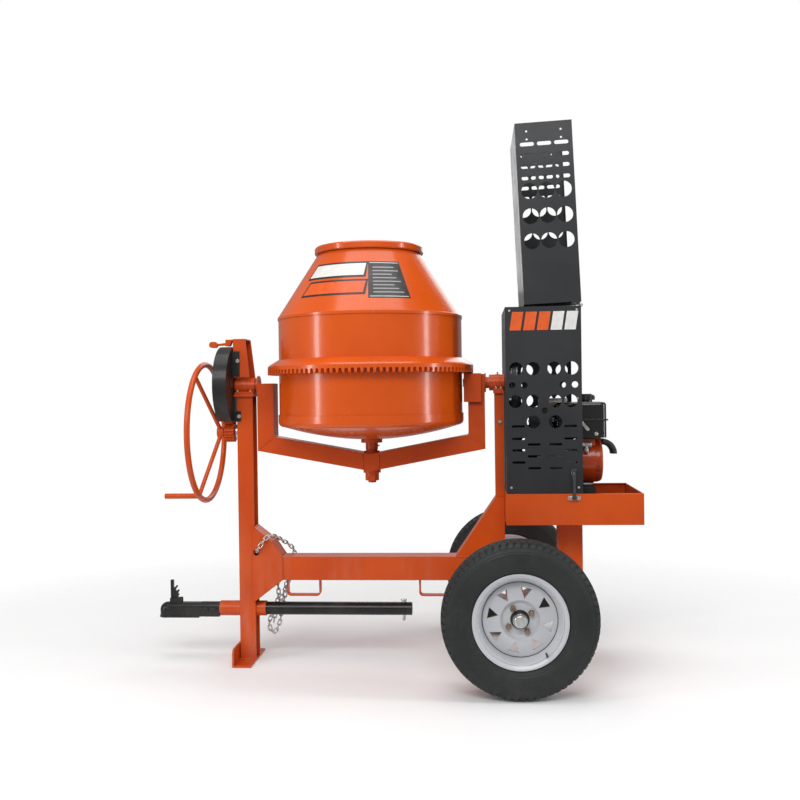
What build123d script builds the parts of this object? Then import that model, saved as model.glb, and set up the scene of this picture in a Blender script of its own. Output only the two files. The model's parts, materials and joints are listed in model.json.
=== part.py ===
from build123d import *
import os
from math import asin, cos, radians, sin, sqrt, tan

# Towable tilting-drum concrete mixer.
# Frame: +X towards the engine, -X towards the tow coupler, +Z up, Y across the wheels.
# Origin on the ground under the middle of the machine.  Units are millimetres.

# ---------------------------------------------------------------- driving dimensions
DRUM_X = -87.0            # the drum's vertical axis
TILT_Z = 1213.0           # the trunnion axis, along X
TYRE_R = 303.0
WHEEL_X = 526.0
WHEEL_Y = 499.0           # middle plane of each tyre

BEAM = 102.0              # square main beam and rear upright
BEAM_Z = 411.0            # the beam's centre line
BEAM_WALL = 6.0
POST_LEFT = -677.0        # front post, outer face of its web
POST_RIGHT = -607.0
POST_HALF = 40.0          # half of the posts' width in Y
POST_TOP = 1166.0
SHELF = 10.0              # bearing shelf on both posts
SHELF_HALF = 54.0
REAR_LEFT = 452.0
REAR_RIGHT = 489.0
UPRIGHT_X = 717.0         # left face of the rear upright

TRAY_X0, TRAY_X1 = 490.0, 1048.0
TRAY_HALF = 231.0
TRAY_Z0, TRAY_Z1 = 622.0, 750.0
CAB_X0, CAB_X1 = 494.3, 805.0
CAB_HALF = 215.0
CAB_Z1 = 1521.0
SHEET = 3.0

HOOD_W = 233.0            # along X when closed
HOOD_H = 745.0
HINGE_X, HINGE_Z = 809.5, 1526.0
HOOD_DROP = 13.0          # hood top below the hinge line when closed
HOOD_OPEN = 182.4         # degrees from closed to the stored open rest

DRUM_R = 400.0
DRUM_WALL = 4.0
DRUM_Z0, SEAM_Z, NECK_Z, MOUTH_Z = 1050.0, 1498.0, 1778.0, 1808.0
NECK_R, MOUTH_R = 225.0, 238.0
RING_R = 449.0
RING_TEETH, PINION_TEETH = 112, 14
RING_TIP_Z, RING_ROOT_Z = 1257.0, 1275.0

YOKE_IN, YOKE_OUT = 425.0, 497.0      # faces of the arms from the drum axis
YOKE_HALF = 50.0
YOKE_SLOPE = 0.187                    # fall of the bottom members
YOKE_MID_TOP = 909.0
YOKE_DEPTH = 75.0
YOKE_WALL = 6.0

GEAR_MODULE = 4.0
GEAR_TEETH, TILT_PINION_TEETH = 82, 20
HAND_Z = TILT_Z - GEAR_MODULE * (GEAR_TEETH + TILT_PINION_TEETH) / 2
HAND_R = 300.0
HAND_TUBE = 12.5
HAND_X = -825.0

TOW_Z = 226.0
TOW_R = 28.5
PIN_X = 45.0

PULLEY_X = 530.0          # the belt's middle plane
DRIVEN_R, CRANK_PULLEY_R = 190.0, 50.0
CRANK_Z = 872.0
ENGINE_BASE = 766.0

os.makedirs("parts", exist_ok=True)


def save(part, name):
    """Label one finished sub-part and write it as parts/name.step."""
    part.label = name
    export_step(part, f"parts/{name}.step")


# ---------------------------------------------------------------- small helpers
def block(x0, x1, y0, y1, z0, z1, mode=Mode.ADD):
    """A box between two corners, in the active part."""
    with Locations(((x0 + x1) / 2, (y0 + y1) / 2, (z0 + z1) / 2)):
        Box(x1 - x0, y1 - y0, z1 - z0, mode=mode)


def rod_x(x0, x1, y, z, radius, mode=Mode.ADD):
    """A round bar along X."""
    with BuildSketch(Plane.YZ.offset(x0)) as face:
        with Locations((y, z)):
            Circle(radius)
    extrude(face.sketch, amount=x1 - x0, mode=mode)


def rod_y(y0, y1, x, z, radius, mode=Mode.ADD):
    """A round bar along Y."""
    with BuildSketch(Plane.XZ.offset(-y1)) as face:
        with Locations((x, z)):
            Circle(radius)
    extrude(face.sketch, amount=y1 - y0, mode=mode)


def rod_z(z0, z1, x, y, radius, mode=Mode.ADD):
    """A round bar along Z."""
    with BuildSketch(Plane.XY.offset(z0)) as face:
        with Locations((x, y)):
            Circle(radius)
    extrude(face.sketch, amount=z1 - z0, mode=mode)


def plate_y(y0, y1, points, mode=Mode.ADD):
    """A plate outlined by (x, z) points, between two Y planes."""
    with BuildSketch(Plane.XZ.offset(-y1)) as face:
        Polygon(*points, align=None)
    extrude(face.sketch, amount=y1 - y0, mode=mode)


def plate_x(x0, x1, points, mode=Mode.ADD):
    """A plate outlined by (y, z) points, between two X planes."""
    with BuildSketch(Plane.YZ.offset(x0)) as face:
        Polygon(*points, align=None)
    extrude(face.sketch, amount=x1 - x0, mode=mode)


def hex_head(x, y, z, size, height, axis="Z", mode=Mode.ADD):
    """A hexagon head whose base centre is (x, y, z), standing along the given axis."""
    directions = {"Z": (0, 0, 1), "-Z": (0, 0, -1), "X": (1, 0, 0), "-X": (-1, 0, 0),
                  "Y": (0, 1, 0), "-Y": (0, -1, 0)}
    with BuildSketch(Plane((x, y, z), z_dir=directions[axis])) as face:
        RegularPolygon(size / 2, 6, major_radius=False)
    extrude(face.sketch, amount=height, mode=mode)


def turned(profile, axis, mode=Mode.ADD):
    """Revolve a finished sketch a full turn about an axis."""
    revolve(profile.sketch, axis=axis, revolution_arc=360, mode=mode)


DRUM_AXIS = Axis((DRUM_X, 0, 0), (0, 0, 1))
DRUM_PLANE = Plane((DRUM_X, 0, 0), x_dir=(1, 0, 0), z_dir=(0, -1, 0))


# ================================================================ chassis
with BuildPart() as main_beam:
    block(POST_RIGHT, UPRIGHT_X, -BEAM / 2, BEAM / 2, BEAM_Z - BEAM / 2, BEAM_Z + BEAM / 2)
    hollow = BEAM / 2 - BEAM_WALL
    block(POST_RIGHT - 1, UPRIGHT_X + 1, -hollow, hollow, BEAM_Z - hollow, BEAM_Z + hollow,
          Mode.SUBTRACT)
save(main_beam.part, "main_beam")

with BuildPart() as rear_upright:
    block(UPRIGHT_X, UPRIGHT_X + BEAM, -BEAM / 2, BEAM / 2, BEAM_Z - BEAM / 2, TRAY_Z0)
    block(UPRIGHT_X + BEAM_WALL, UPRIGHT_X + BEAM - BEAM_WALL, -hollow, hollow,
          BEAM_Z - BEAM / 2 - 1, TRAY_Z0 + 1, Mode.SUBTRACT)
save(rear_upright.part, "rear_upright")

FOOT = 8.0
SLEEVE_R = 33.0
with BuildPart() as front_post:
    wall = 6.0
    block(POST_LEFT, POST_RIGHT, -POST_HALF, POST_HALF, FOOT, POST_TOP)
    block(POST_LEFT + wall, POST_RIGHT + 1, -POST_HALF + wall, POST_HALF - wall, FOOT - 1,
          POST_TOP + 1, Mode.SUBTRACT)
    block(POST_LEFT - 11, POST_RIGHT + 8, -SHELF_HALF, SHELF_HALF, POST_TOP, POST_TOP + SHELF)
    rod_x(POST_LEFT - 1, POST_LEFT + wall + 1, 0, TOW_Z, SLEEVE_R, Mode.SUBTRACT)
    rod_x(POST_LEFT - 1, POST_LEFT + wall + 1, 0, HAND_Z, 24.0, Mode.SUBTRACT)
save(front_post.part, "front_post")

FOOT_HALF = 144.0
with BuildPart() as foot_plate:
    block(POST_LEFT - 12, POST_RIGHT, -FOOT_HALF, FOOT_HALF, 0, FOOT)
    with BuildSketch(Plane.YZ.offset(POST_LEFT - 12)) as toe:
        with Locations((0, 39)):
            Rectangle(2 * FOOT_HALF, 78)
        fillet(toe.vertices().group_by(SortBy.DISTANCE)[-1].filter_by(lambda v: v.Y > 40), 26)
    extrude(toe.sketch, amount=FOOT)
save(foot_plate.part, "foot_plate")

GUSSET = 6.0
with BuildPart() as beam_gussets:
    front = [(POST_RIGHT - 6, 592), (-529, 530), (-484, 463), (-481, 360), (-600, 270),
             (POST_RIGHT - 6, 270)]
    outer = BEAM / 2 + GUSSET
    plate_y(-outer, -BEAM / 2, front)
    plate_y(BEAM / 2, outer, front)
    top = [(POST_RIGHT, 592), (-529, 530), (-486, 464), (-492, 464), (-533, 525),
           (POST_RIGHT, 585)]
    plate_y(-BEAM / 2, BEAM / 2, top)
    rod_y(-outer - 1, outer + 1, -597, 482, 14, Mode.SUBTRACT)
    rear_top = BEAM_Z + BEAM / 2
    rear = [(REAR_LEFT, 717), (277, rear_top), (REAR_RIGHT, rear_top), (REAR_RIGHT, 717)]
    plate_y(-BEAM / 2, -BEAM / 2 + GUSSET, rear)
    plate_y(BEAM / 2 - GUSSET, BEAM / 2, rear)
    slant = [(REAR_LEFT, 717), (277, rear_top), (285, rear_top), (REAR_LEFT, 705)]
    plate_y(-BEAM / 2 + GUSSET, BEAM / 2 - GUSSET, slant)
save(beam_gussets.part, "beam_gussets")

with BuildPart() as rear_post:
    z0 = BEAM_Z + BEAM / 2
    block(REAR_LEFT, REAR_RIGHT, -POST_HALF, POST_HALF, z0, POST_TOP)
    block(REAR_LEFT + 5, REAR_RIGHT + 1, -POST_HALF + 5, POST_HALF - 5, z0 - 1, POST_TOP + 1,
          Mode.SUBTRACT)
    block(REAR_LEFT - 4, REAR_RIGHT, -SHELF_HALF, SHELF_HALF, POST_TOP, POST_TOP + SHELF)
save(rear_post.part, "rear_post")

LOOP_W, LOOP_DROP, STRAP, STRAP_HALF = 151.0, 77.0, 7.0, 16.0


def strap_outline(left, inset, radius):
    """A rectangle under the beam with its two lower corners rounded."""
    under = BEAM_Z - BEAM / 2
    with BuildSketch(Plane.XZ.offset(-STRAP_HALF)) as outline:
        with Locations((left + LOOP_W / 2, under - LOOP_DROP / 2 + inset)):
            Rectangle(LOOP_W - 2 * inset, LOOP_DROP)
        fillet(outline.vertices().group_by(Axis.Y)[0], radius)
    return outline.sketch


with BuildPart() as fork_loops:
    for left in (-471.0, 114.0):
        extrude(strap_outline(left, 0.0, 18), amount=2 * STRAP_HALF)
        extrude(strap_outline(left, STRAP, 11), amount=2 * STRAP_HALF, mode=Mode.SUBTRACT)
save(fork_loops.part, "fork_loops")

with BuildPart() as tow_sleeve:
    rod_x(-772, -565, 0, TOW_Z, SLEEVE_R - 0.1)
    rod_x(-773, -564, 0, TOW_Z, TOW_R + 0.3, Mode.SUBTRACT)
save(tow_sleeve.part, "tow_sleeve")

SPINDLE_R = 19.0
with BuildPart() as axle_beam:
    block(WHEEL_X - 32, WHEEL_X + 32, -WHEEL_Y + 70, WHEEL_Y - 70, TYRE_R - 32, TYRE_R + 32)
    block(WHEEL_X - 50, WHEEL_X + 50, -BEAM / 2, BEAM / 2, TYRE_R + 32, BEAM_Z - BEAM / 2)
    rod_y(-WHEEL_Y - 42, WHEEL_Y + 42, WHEEL_X, TYRE_R, SPINDLE_R)
save(axle_beam.part, "axle_beam")

TRAY_SHEET = 4.0
with BuildPart() as engine_tray:
    block(TRAY_X0, TRAY_X1, -TRAY_HALF, TRAY_HALF, TRAY_Z0, TRAY_Z1)
    block(TRAY_X0 + TRAY_SHEET, TRAY_X1 - TRAY_SHEET, -TRAY_HALF + TRAY_SHEET,
          TRAY_HALF - TRAY_SHEET, TRAY_Z0 + TRAY_SHEET, TRAY_Z1 + 1, Mode.SUBTRACT)
    for side in (-1, 1):
        lip = side * (TRAY_HALF - TRAY_SHEET - 5)
        block(TRAY_X0 + TRAY_SHEET, TRAY_X1 - TRAY_SHEET, lip - 5, lip + 5,
              TRAY_Z1 - TRAY_SHEET, TRAY_Z1)
save(engine_tray.part, "engine_tray")

# ---------------------------------------------------------------- trunnion bearings
BEARING_R, TRUNNION_R = 35.0, 25.0
BEARING_FOOT = 46.5
LEFT_BEARING = (-687.0, -600.0)
RIGHT_BEARING = (430.0, 503.0)


def pillow_block(span, foot_span):
    """A pillow block: a barrel on two webs and a bolted foot."""
    foot_z = POST_TOP + SHELF
    block(foot_span[0], foot_span[1], -BEARING_FOOT, BEARING_FOOT, foot_z, foot_z + 10)
    block(foot_span[0] + 6, foot_span[1] - 6, -26, 26, foot_z + 10, TILT_Z)
    rod_x(span[0], span[1], 0, TILT_Z, BEARING_R)
    middle = (span[0] + span[1]) / 2
    rod_x(middle - 10, middle + 10, 0, TILT_Z, BEARING_R + 2)
    rod_z(TILT_Z + BEARING_R, TILT_Z + BEARING_R + 7, middle, 0, 3)
    with Locations((middle, 0, TILT_Z + BEARING_R + 8)):
        Sphere(3.2)
    rod_x(span[0] - 1, span[1] + 1, 0, TILT_Z, TRUNNION_R + 0.06, Mode.SUBTRACT)


with BuildPart() as trunnion_bearings:
    pillow_block(LEFT_BEARING, (-685.0, -602.0))
    pillow_block(RIGHT_BEARING, (REAR_LEFT - 4, REAR_RIGHT))
save(trunnion_bearings.part, "trunnion_bearings")

# ---------------------------------------------------------------- tilt gear bracket and case
CASE_R, CASE_X0, CASE_X1 = 173.5, -751.0, -691.0
CASE_CUT_Z = 1058.0
BRACKET_X0, BRACKET_X1 = -688.0, -633.0
BRACKET_TOP = 1419.0
BRACKET_HALF = 53.5
EAR = 4.0
with BuildPart() as gear_bracket:
    plate = 6.0
    near = [(BRACKET_X0, 1250), (-616, 1250), (BRACKET_X1, BRACKET_TOP), (BRACKET_X0, BRACKET_TOP)]
    far = [(BRACKET_X0, POST_TOP + SHELF), (-612, POST_TOP + SHELF), (-612, 1236),
           (BRACKET_X1, BRACKET_TOP), (BRACKET_X0, BRACKET_TOP)]
    plate_y(-BRACKET_HALF, -BRACKET_HALF + plate, near)
    plate_y(BRACKET_HALF - plate, BRACKET_HALF, far)
    block(BRACKET_X0, BRACKET_X1, -BRACKET_HALF, BRACKET_HALF, BRACKET_TOP - plate, BRACKET_TOP)
    block(-731, BRACKET_X0, -14, 14, BRACKET_TOP - plate, BRACKET_TOP)
    for side in (-1, 1):
        ear = [(-731, BRACKET_TOP), (-731, 1390), (-712, 1390), (-700, BRACKET_TOP)]
        plate_y(side * 11 - 3, side * 11 + 3, ear)
    rod_y(-15, 15, -721, 1400, 4.1, Mode.SUBTRACT)
save(gear_bracket.part, "gear_bracket")

with BuildPart() as tilt_gear_case:
    rod_x(CASE_X0, CASE_X1, 0, TILT_Z, CASE_R)
    rod_x(CASE_X0 + SHEET, CASE_X1 - SHEET, 0, TILT_Z, CASE_R - SHEET, Mode.SUBTRACT)
    block(CASE_X0 - 1, CASE_X1 + 1, -CASE_R, CASE_R, TILT_Z - CASE_R - 1, CASE_CUT_Z,
          Mode.SUBTRACT)
    rod_x(CASE_X1 - SHEET - 1, CASE_X1 + 1, 0, TILT_Z, 32, Mode.SUBTRACT)
    block(CASE_X1 - 2, -659, -BRACKET_HALF - EAR, -BRACKET_HALF, 1255, 1365)
    block(CASE_X1 - 2, -659, -POST_HALF - EAR, -POST_HALF, CASE_CUT_Z, 1102)
    block(CASE_X1, CASE_X1 + 2.5, -110, -BRACKET_HALF - 1, 1204, 1246)
save(tilt_gear_case.part, "tilt_gear_case")

with BuildPart() as handwheel_bush:
    rod_x(POST_LEFT - 12, POST_LEFT + 40, 0, HAND_Z, 23.8)
    rod_x(POST_LEFT - 8, POST_LEFT, 0, HAND_Z, 36)
    rod_x(POST_LEFT - 13, POST_LEFT + 41, 0, HAND_Z, 12.55, Mode.SUBTRACT)
save(handwheel_bush.part, "handwheel_bush")

# ---------------------------------------------------------------- drive cabinet
CAB_Z0 = TRAY_Z0 + TRAY_SHEET
CAB_MID = 650.0
BIG_HOLE, SMALL_HOLE = 27.0, 13.0
BIG_HOLES = [(-113, 1266), (-43, 1266), (43, 1266), (114, 1266), (-117, 1131), (-44, 1131),
             (46, 1131), (109, 1131), (-44, 1046), (46, 1046)]
SMALL_HOLES = [(-129, 1198), (-79, 1198), (77, 1198), (127, 1198), (3, 1092)]
OUTER_SLOT_ROWS = (1028, 977, 929, 879)
INNER_SLOT_ROWS = (953, 904, 855)
with BuildPart() as drive_cabinet:
    block(CAB_X0, CAB_X1, -CAB_HALF, CAB_HALF, CAB_Z0, CAB_Z1)
    block(CAB_X0 + SHEET, CAB_X1 + 1, -CAB_HALF + SHEET, CAB_HALF - SHEET, CAB_Z0 - 1,
          CAB_Z1 - SHEET, Mode.SUBTRACT)
    for side in (-1, 1):
        lip = side * (CAB_HALF - SHEET - 9)
        block(CAB_X1 - SHEET, CAB_X1, lip - 9, lip + 9, CAB_Z0, CAB_Z1 - SHEET)
    block(CAB_X1 - SHEET, CAB_X1, -CAB_HALF + SHEET, CAB_HALF - SHEET, CAB_Z1 - SHEET - 18,
          CAB_Z1 - SHEET)
    with BuildSketch(Plane.XZ.offset(CAB_HALF + 1)) as vents:
        with Locations([(CAB_MID + x, z) for x, z in BIG_HOLES]):
            Circle(BIG_HOLE)
        with Locations([(CAB_MID + x, z) for x, z in SMALL_HOLES]):
            Circle(SMALL_HOLE)
        with Locations([(CAB_MID + x, z) for x in (-106, 107) for z in OUTER_SLOT_ROWS]):
            SlotOverall(53, 9.5)
        with Locations([(CAB_MID + x, z) for x in (-42, 46) for z in INNER_SLOT_ROWS]):
            SlotOverall(53, 9.5)
    extrude(vents.sketch, amount=-2 * CAB_HALF - 2, mode=Mode.SUBTRACT)
    rod_x(CAB_X0 - 1, CAB_X0 + SHEET + 1, 0, TILT_Z, BEARING_R + 4, Mode.SUBTRACT)
save(drive_cabinet.part, "drive_cabinet")

# ---------------------------------------------------------------- hood and its hinge
KNUCKLES = 5
KNUCKLE = 24.0


def hinge_knuckles(first, step):
    """Every other knuckle along the hinge line, drilled for the pin."""
    for centre in (-140.0, 140.0):
        for index in range(first, KNUCKLES, step):
            y0 = centre + (index - KNUCKLES / 2) * KNUCKLE
            rod_y(y0 + 0.3, y0 + KNUCKLE - 0.3, HINGE_X, HINGE_Z, 6)
    rod_y(-CAB_HALF, CAB_HALF, HINGE_X, HINGE_Z, 3.05, Mode.SUBTRACT)


HOOD_TOP = HINGE_Z - HOOD_DROP
HOOD_X0 = HINGE_X + 2.0
HOOD_X1 = HOOD_X0 + HOOD_W
HOOD_BOTTOM = HOOD_TOP - HOOD_H
OPEN_POSE = Axis((HINGE_X, 0, HINGE_Z), (0, 1, 0))
HOOD_SLOT_ROWS = (88.0, 135.0, 180.0, 227.0)     # from the hood's free edge
HOOD_HOLE_ROWS = (280.0, 384.0, 487.0)
HOOD_COLUMNS = (-70.0, 0.0, 70.0)
with BuildPart() as hood:
    block(HOOD_X0, HOOD_X1, -CAB_HALF, CAB_HALF, HOOD_BOTTOM, HOOD_TOP)
    block(HOOD_X0 - 1, HOOD_X1 - SHEET, -CAB_HALF + SHEET, CAB_HALF - SHEET, HOOD_BOTTOM - 1,
          HOOD_TOP - SHEET, Mode.SUBTRACT)
    for side in (-1, 1):
        lip = side * (CAB_HALF - SHEET - 8)
        block(HOOD_X0, HOOD_X0 + SHEET, lip - 8, lip + 8, HOOD_BOTTOM, HOOD_TOP - SHEET)
    middle = (HOOD_X0 + HOOD_X1) / 2
    with BuildSketch(Plane.XZ.offset(CAB_HALF + 1)) as vents:
        with Locations([(middle + x, HOOD_BOTTOM + z) for x in HOOD_COLUMNS
                        for z in HOOD_SLOT_ROWS]):
            SlotOverall(58, 16)
        with Locations([(middle + x, HOOD_BOTTOM + z) for x in HOOD_COLUMNS
                        for z in HOOD_HOLE_ROWS]):
            Circle(32.5)
        with Locations([(middle + x, HOOD_BOTTOM + z) for x in (-70, 70) for z in (35, 68)]):
            Circle(4.5)
    extrude(vents.sketch, amount=-2 * CAB_HALF - 2, mode=Mode.SUBTRACT)
save(hood.part.rotate(OPEN_POSE, -HOOD_OPEN), "hood")

with BuildPart() as hood_hinge:
    for centre in (-140.0, 140.0):
        block(HOOD_X0 + 1, HOOD_X0 + 38, centre - 60, centre + 60, HOOD_TOP, HOOD_TOP + 2.5)
        for index in range(1, KNUCKLES, 2):
            y0 = centre + (index - KNUCKLES / 2) * KNUCKLE
            block(HINGE_X + 3, HINGE_X + 6, y0 + 0.3, y0 + KNUCKLE - 0.3, HOOD_TOP, HINGE_Z)
    hinge_knuckles(1, 2)
    for centre in (-140.0, 140.0):
        rod_y(centre - KNUCKLES * KNUCKLE / 2 - 3, centre + KNUCKLES * KNUCKLE / 2 + 3, HINGE_X,
              HINGE_Z, 3.0)
save(hood_hinge.part.rotate(OPEN_POSE, -HOOD_OPEN), "hood_hinge")

# ---------------------------------------------------------------- rubber hood latch
LATCH_X, LATCH_BASE_Z, KEEPER_Z = 767.0, 733.0, 834.0
LATCH_PIVOT = (-TRAY_HALF - 11.0, LATCH_BASE_Z)
with BuildPart() as hood_fittings:
    for centre in (-140.0, 140.0):
        for index in range(0, KNUCKLES, 2):
            y0 = centre + (index - KNUCKLES / 2) * KNUCKLE
            block(CAB_X1 - 3, HINGE_X, y0 + 0.3, y0 + KNUCKLE - 0.3, CAB_Z1, CAB_Z1 + 2.5)
        block(CAB_X1 - 40, CAB_X1 - 3, centre - 60, centre + 60, CAB_Z1, CAB_Z1 + 2.5)
    hinge_knuckles(0, 2)
    block(LATCH_X - 26, LATCH_X + 26, -TRAY_HALF - 3, -TRAY_HALF, LATCH_BASE_Z - 8,
          LATCH_BASE_Z + 8)
    for side in (-1, 1):
        x = LATCH_X + side * 13
        block(x - 2.5, x + 2.5, -TRAY_HALF - 16, -TRAY_HALF - 3, LATCH_BASE_Z - 6,
              LATCH_BASE_Z + 6)
    rod_x(LATCH_X - 15, LATCH_X + 15, LATCH_PIVOT[0], LATCH_PIVOT[1], 3)
    block(LATCH_X - 9, LATCH_X + 9, -CAB_HALF - 3, -CAB_HALF, KEEPER_Z - 10, KEEPER_Z + 10)
    block(LATCH_X - 7, LATCH_X + 7, -CAB_HALF - 12, -CAB_HALF - 3, KEEPER_Z - 2, KEEPER_Z + 1)
    block(LATCH_X - 7, LATCH_X + 7, -CAB_HALF - 14, -CAB_HALF - 12, KEEPER_Z - 2, KEEPER_Z + 6)
save(hood_fittings.part, "hood_fittings")

with BuildPart() as latch_strap:
    y, z = LATCH_PIVOT
    rod_x(LATCH_X - 9, LATCH_X + 9, y, z, 7)
    strap_line = [(y - 4, z), (y + 4, z), (-CAB_HALF - 15, KEEPER_Z - 8), (-CAB_HALF - 15, KEEPER_Z + 18),
                  (-CAB_HALF - 21, KEEPER_Z + 18), (-CAB_HALF - 22, KEEPER_Z - 8)]
    plate_x(LATCH_X - 8, LATCH_X + 8, strap_line)
    rod_x(LATCH_X - 12, LATCH_X + 12, -CAB_HALF - 20, KEEPER_Z + 14, 6)
    rod_x(LATCH_X - 10, LATCH_X + 10, y, z, 3.3, Mode.SUBTRACT)
save(latch_strap.part, "latch_strap")

# ---------------------------------------------------------------- engine
with BuildPart() as engine_stand:
    block(600, 870, -120, 120, ENGINE_BASE - 8, ENGINE_BASE)
    for side in (-1, 1):
        y = side * 117
        block(600, 870, y - 3, y + 3, CAB_Z0, ENGINE_BASE - 8)
    block(640, 830, -70, 70, ENGINE_BASE - 9, ENGINE_BASE + 1, Mode.SUBTRACT)
save(engine_stand.part, "engine_stand")

with BuildPart() as engine_block:
    block(646, 800, -112, 120, ENGINE_BASE, 790)
    with BuildSketch(Plane.YZ.offset(650)) as case:
        with Locations((4, CRANK_Z)):
            Circle(92)
        with Locations((4, 835)):
            Rectangle(170, 80)
    extrude(case.sketch, amount=140)
    with Locations(Plane((720, 60, 905), x_dir=(1, 0, 0), z_dir=(0, 0.72, 0.69))):
        Cylinder(44, 120, align=(Align.CENTER, Align.CENTER, Align.MIN))
        for level in range(7):
            with Locations((0, 0, 24 + level * 12)):
                Box(118, 116, 4)
        with Locations((0, 0, 122)):
            Box(112, 110, 22)
    rod_x(632, 650, 0, CRANK_Z, 34)
    rod_x(631, 649, 0, CRANK_Z, 12.55, Mode.SUBTRACT)
    block(768, 801, -111.6, -99, 905, 947)
    block(768, 800, -99, -80, 900, 906)
save(engine_block.part, "engine_block")

TANK_Z0 = 974.0
CAP_X, CAP_Y = 845.0, -30.0
with BuildPart() as fuel_tank:
    block(700, 917, -132, 36, TANK_Z0, 1124)
    fillet(fuel_tank.edges().filter_by(Axis.Z), 26)
    fillet(fuel_tank.faces().sort_by(Axis.Z)[-1].edges(), 14)
    block(696, 921, -136, 40, 1046, 1052)
    rod_z(1120, 1132, CAP_X, CAP_Y, 24)
    block(740, 790, -60, 20, TANK_Z0 - 8, TANK_Z0 + 1)
    block(714, 903, -118, 22, TANK_Z0 + 3, 1118, Mode.SUBTRACT)
    rod_z(1117, 1133, CAP_X, CAP_Y, 19, Mode.SUBTRACT)
save(fuel_tank.part, "fuel_tank")

with BuildPart() as fuel_cap:
    rod_z(1132.3, 1154, CAP_X, CAP_Y, 31)
    with BuildSketch(Plane.XY.offset(1132.3)) as flutes:
        with Locations((CAP_X, CAP_Y)):
            with PolarLocations(31, 10):
                Circle(4.2)
    extrude(flutes.sketch, amount=17)
    rod_z(1154, 1158, CAP_X, CAP_Y, 22)
save(fuel_cap.part, "fuel_cap")

GRIP_Z, ROPE_R = 952.0, 2.4
with BuildPart() as recoil_cover:
    rod_x(802, 872, 0, CRANK_Z, 99)
    rod_x(872, 906, 0, CRANK_Z, 92)
    fillet(recoil_cover.faces().sort_by(Axis.X)[-1].edges(), 12)
    block(806, 870, -99, 60, 940, 966)
    rod_x(800, 860, 0, CRANK_Z, 90, Mode.SUBTRACT)
    rod_x(859, 900, 0, CRANK_Z, 82, Mode.SUBTRACT)
    with BuildSketch(Plane.YZ.offset(868)) as grille:
        with Locations((0, CRANK_Z)):
            with PolarLocations(66, 18):
                SlotOverall(26, 5)
            with PolarLocations(40, 12):
                SlotOverall(14, 4)
    extrude(grille.sketch, amount=60, mode=Mode.SUBTRACT)
    block(872, 905, -18, 18, 940, 972)
    rod_x(860, 907, 0, GRIP_Z, ROPE_R + 0.05, Mode.SUBTRACT)
save(recoil_cover.part, "recoil_cover")

with BuildPart() as starter_grip:
    with BuildLine(Plane.XZ) as grip_path:
        ThreePointArc((910, GRIP_Z), (944, 938), (960, 900))
    with BuildSketch(Plane((910, 0, GRIP_Z), x_dir=(0, 1, 0), z_dir=(1, 0, 0))) as grip_face:
        SlotOverall(66, 26)
    sweep(grip_face.sketch, path=grip_path.line)
    rod_x(836, 914, 0, GRIP_Z, ROPE_R)
save(starter_grip.part, "starter_grip")

with BuildPart() as muffler:
    block(652, 770, 60, 164, 1052, 1140)
    fillet(muffler.edges().filter_by(Axis.X), 18)
    with BuildSketch(Plane.XZ.offset(-166)) as louvres:
        with Locations([(x, z) for x in (680, 711, 742) for z in (1070, 1087, 1104, 1121)]):
            SlotOverall(22, 7)
    extrude(louvres.sketch, amount=5, mode=Mode.SUBTRACT)
    rod_y(164, 182, 690, 1122, 9)
    block(690, 730, 118, 150, 1040, 1052)
save(muffler.part, "muffler")

with BuildPart() as air_cleaner:
    block(598, 690, -128, -20, 985, 1105)
    fillet(air_cleaner.edges().filter_by(Axis.X), 20)
    block(596, 692, -131, -17, 1040, 1048)
    rod_z(1105, 1118, 650, -74, 10)
    block(652, 688, -86, -44, 956, 985)
save(air_cleaner.part, "air_cleaner")

with BuildPart() as throttle_lever:
    rod_y(-118, -112, 786, 925, 13)
    block(783, 789, -118, -114, 925, 958)
    rod_y(-124, -110, 786, 958, 6)
save(throttle_lever.part, "throttle_lever")

# ---------------------------------------------------------------- pulleys and belt
BELT_W, BELT_H = 17.0, 11.0


def pulley(centre_z, outer, hub, bore, half=18.0):
    """A V-belt pulley: rim with one groove, web and hub, all turned about its shaft."""
    axis = Axis((PULLEY_X, 0, centre_z), (1, 0, 0))
    groove = BELT_W / 2 + 0.6
    floor = outer - BELT_H - 5
    with BuildSketch(Plane.XZ) as profile:
        points = [(-half, bore), (half, bore), (half, hub), (8, hub), (8, floor - 8),
                  (half - 4, floor - 8), (half - 4, outer), (groove, outer),
                  (groove, floor), (-groove, floor), (-groove, outer),
                  (4 - half, outer), (4 - half, floor - 8), (-8, floor - 8), (-8, hub),
                  (-half, hub)]
        Polygon(*[(PULLEY_X + x, centre_z + r) for x, r in points], align=None)
    turned(profile, axis)


SHAFT_R = 17.5
with BuildPart() as driven_pulley:
    pulley(TILT_Z, DRIVEN_R, 34, SHAFT_R)
    with BuildSketch(Plane.YZ.offset(PULLEY_X - 20)) as windows:
        with Locations((0, TILT_Z)):
            with PolarLocations(104, 6):
                Circle(34)
    extrude(windows.sketch, amount=40, mode=Mode.SUBTRACT)
save(driven_pulley.part, "driven_pulley")

with BuildPart() as engine_pulley:
    pulley(CRANK_Z, CRANK_PULLEY_R, 30, 0.0)
    rod_x(PULLEY_X + 18, 647, 0, CRANK_Z, 12.5)
save(engine_pulley.part, "engine_pulley")


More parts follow.
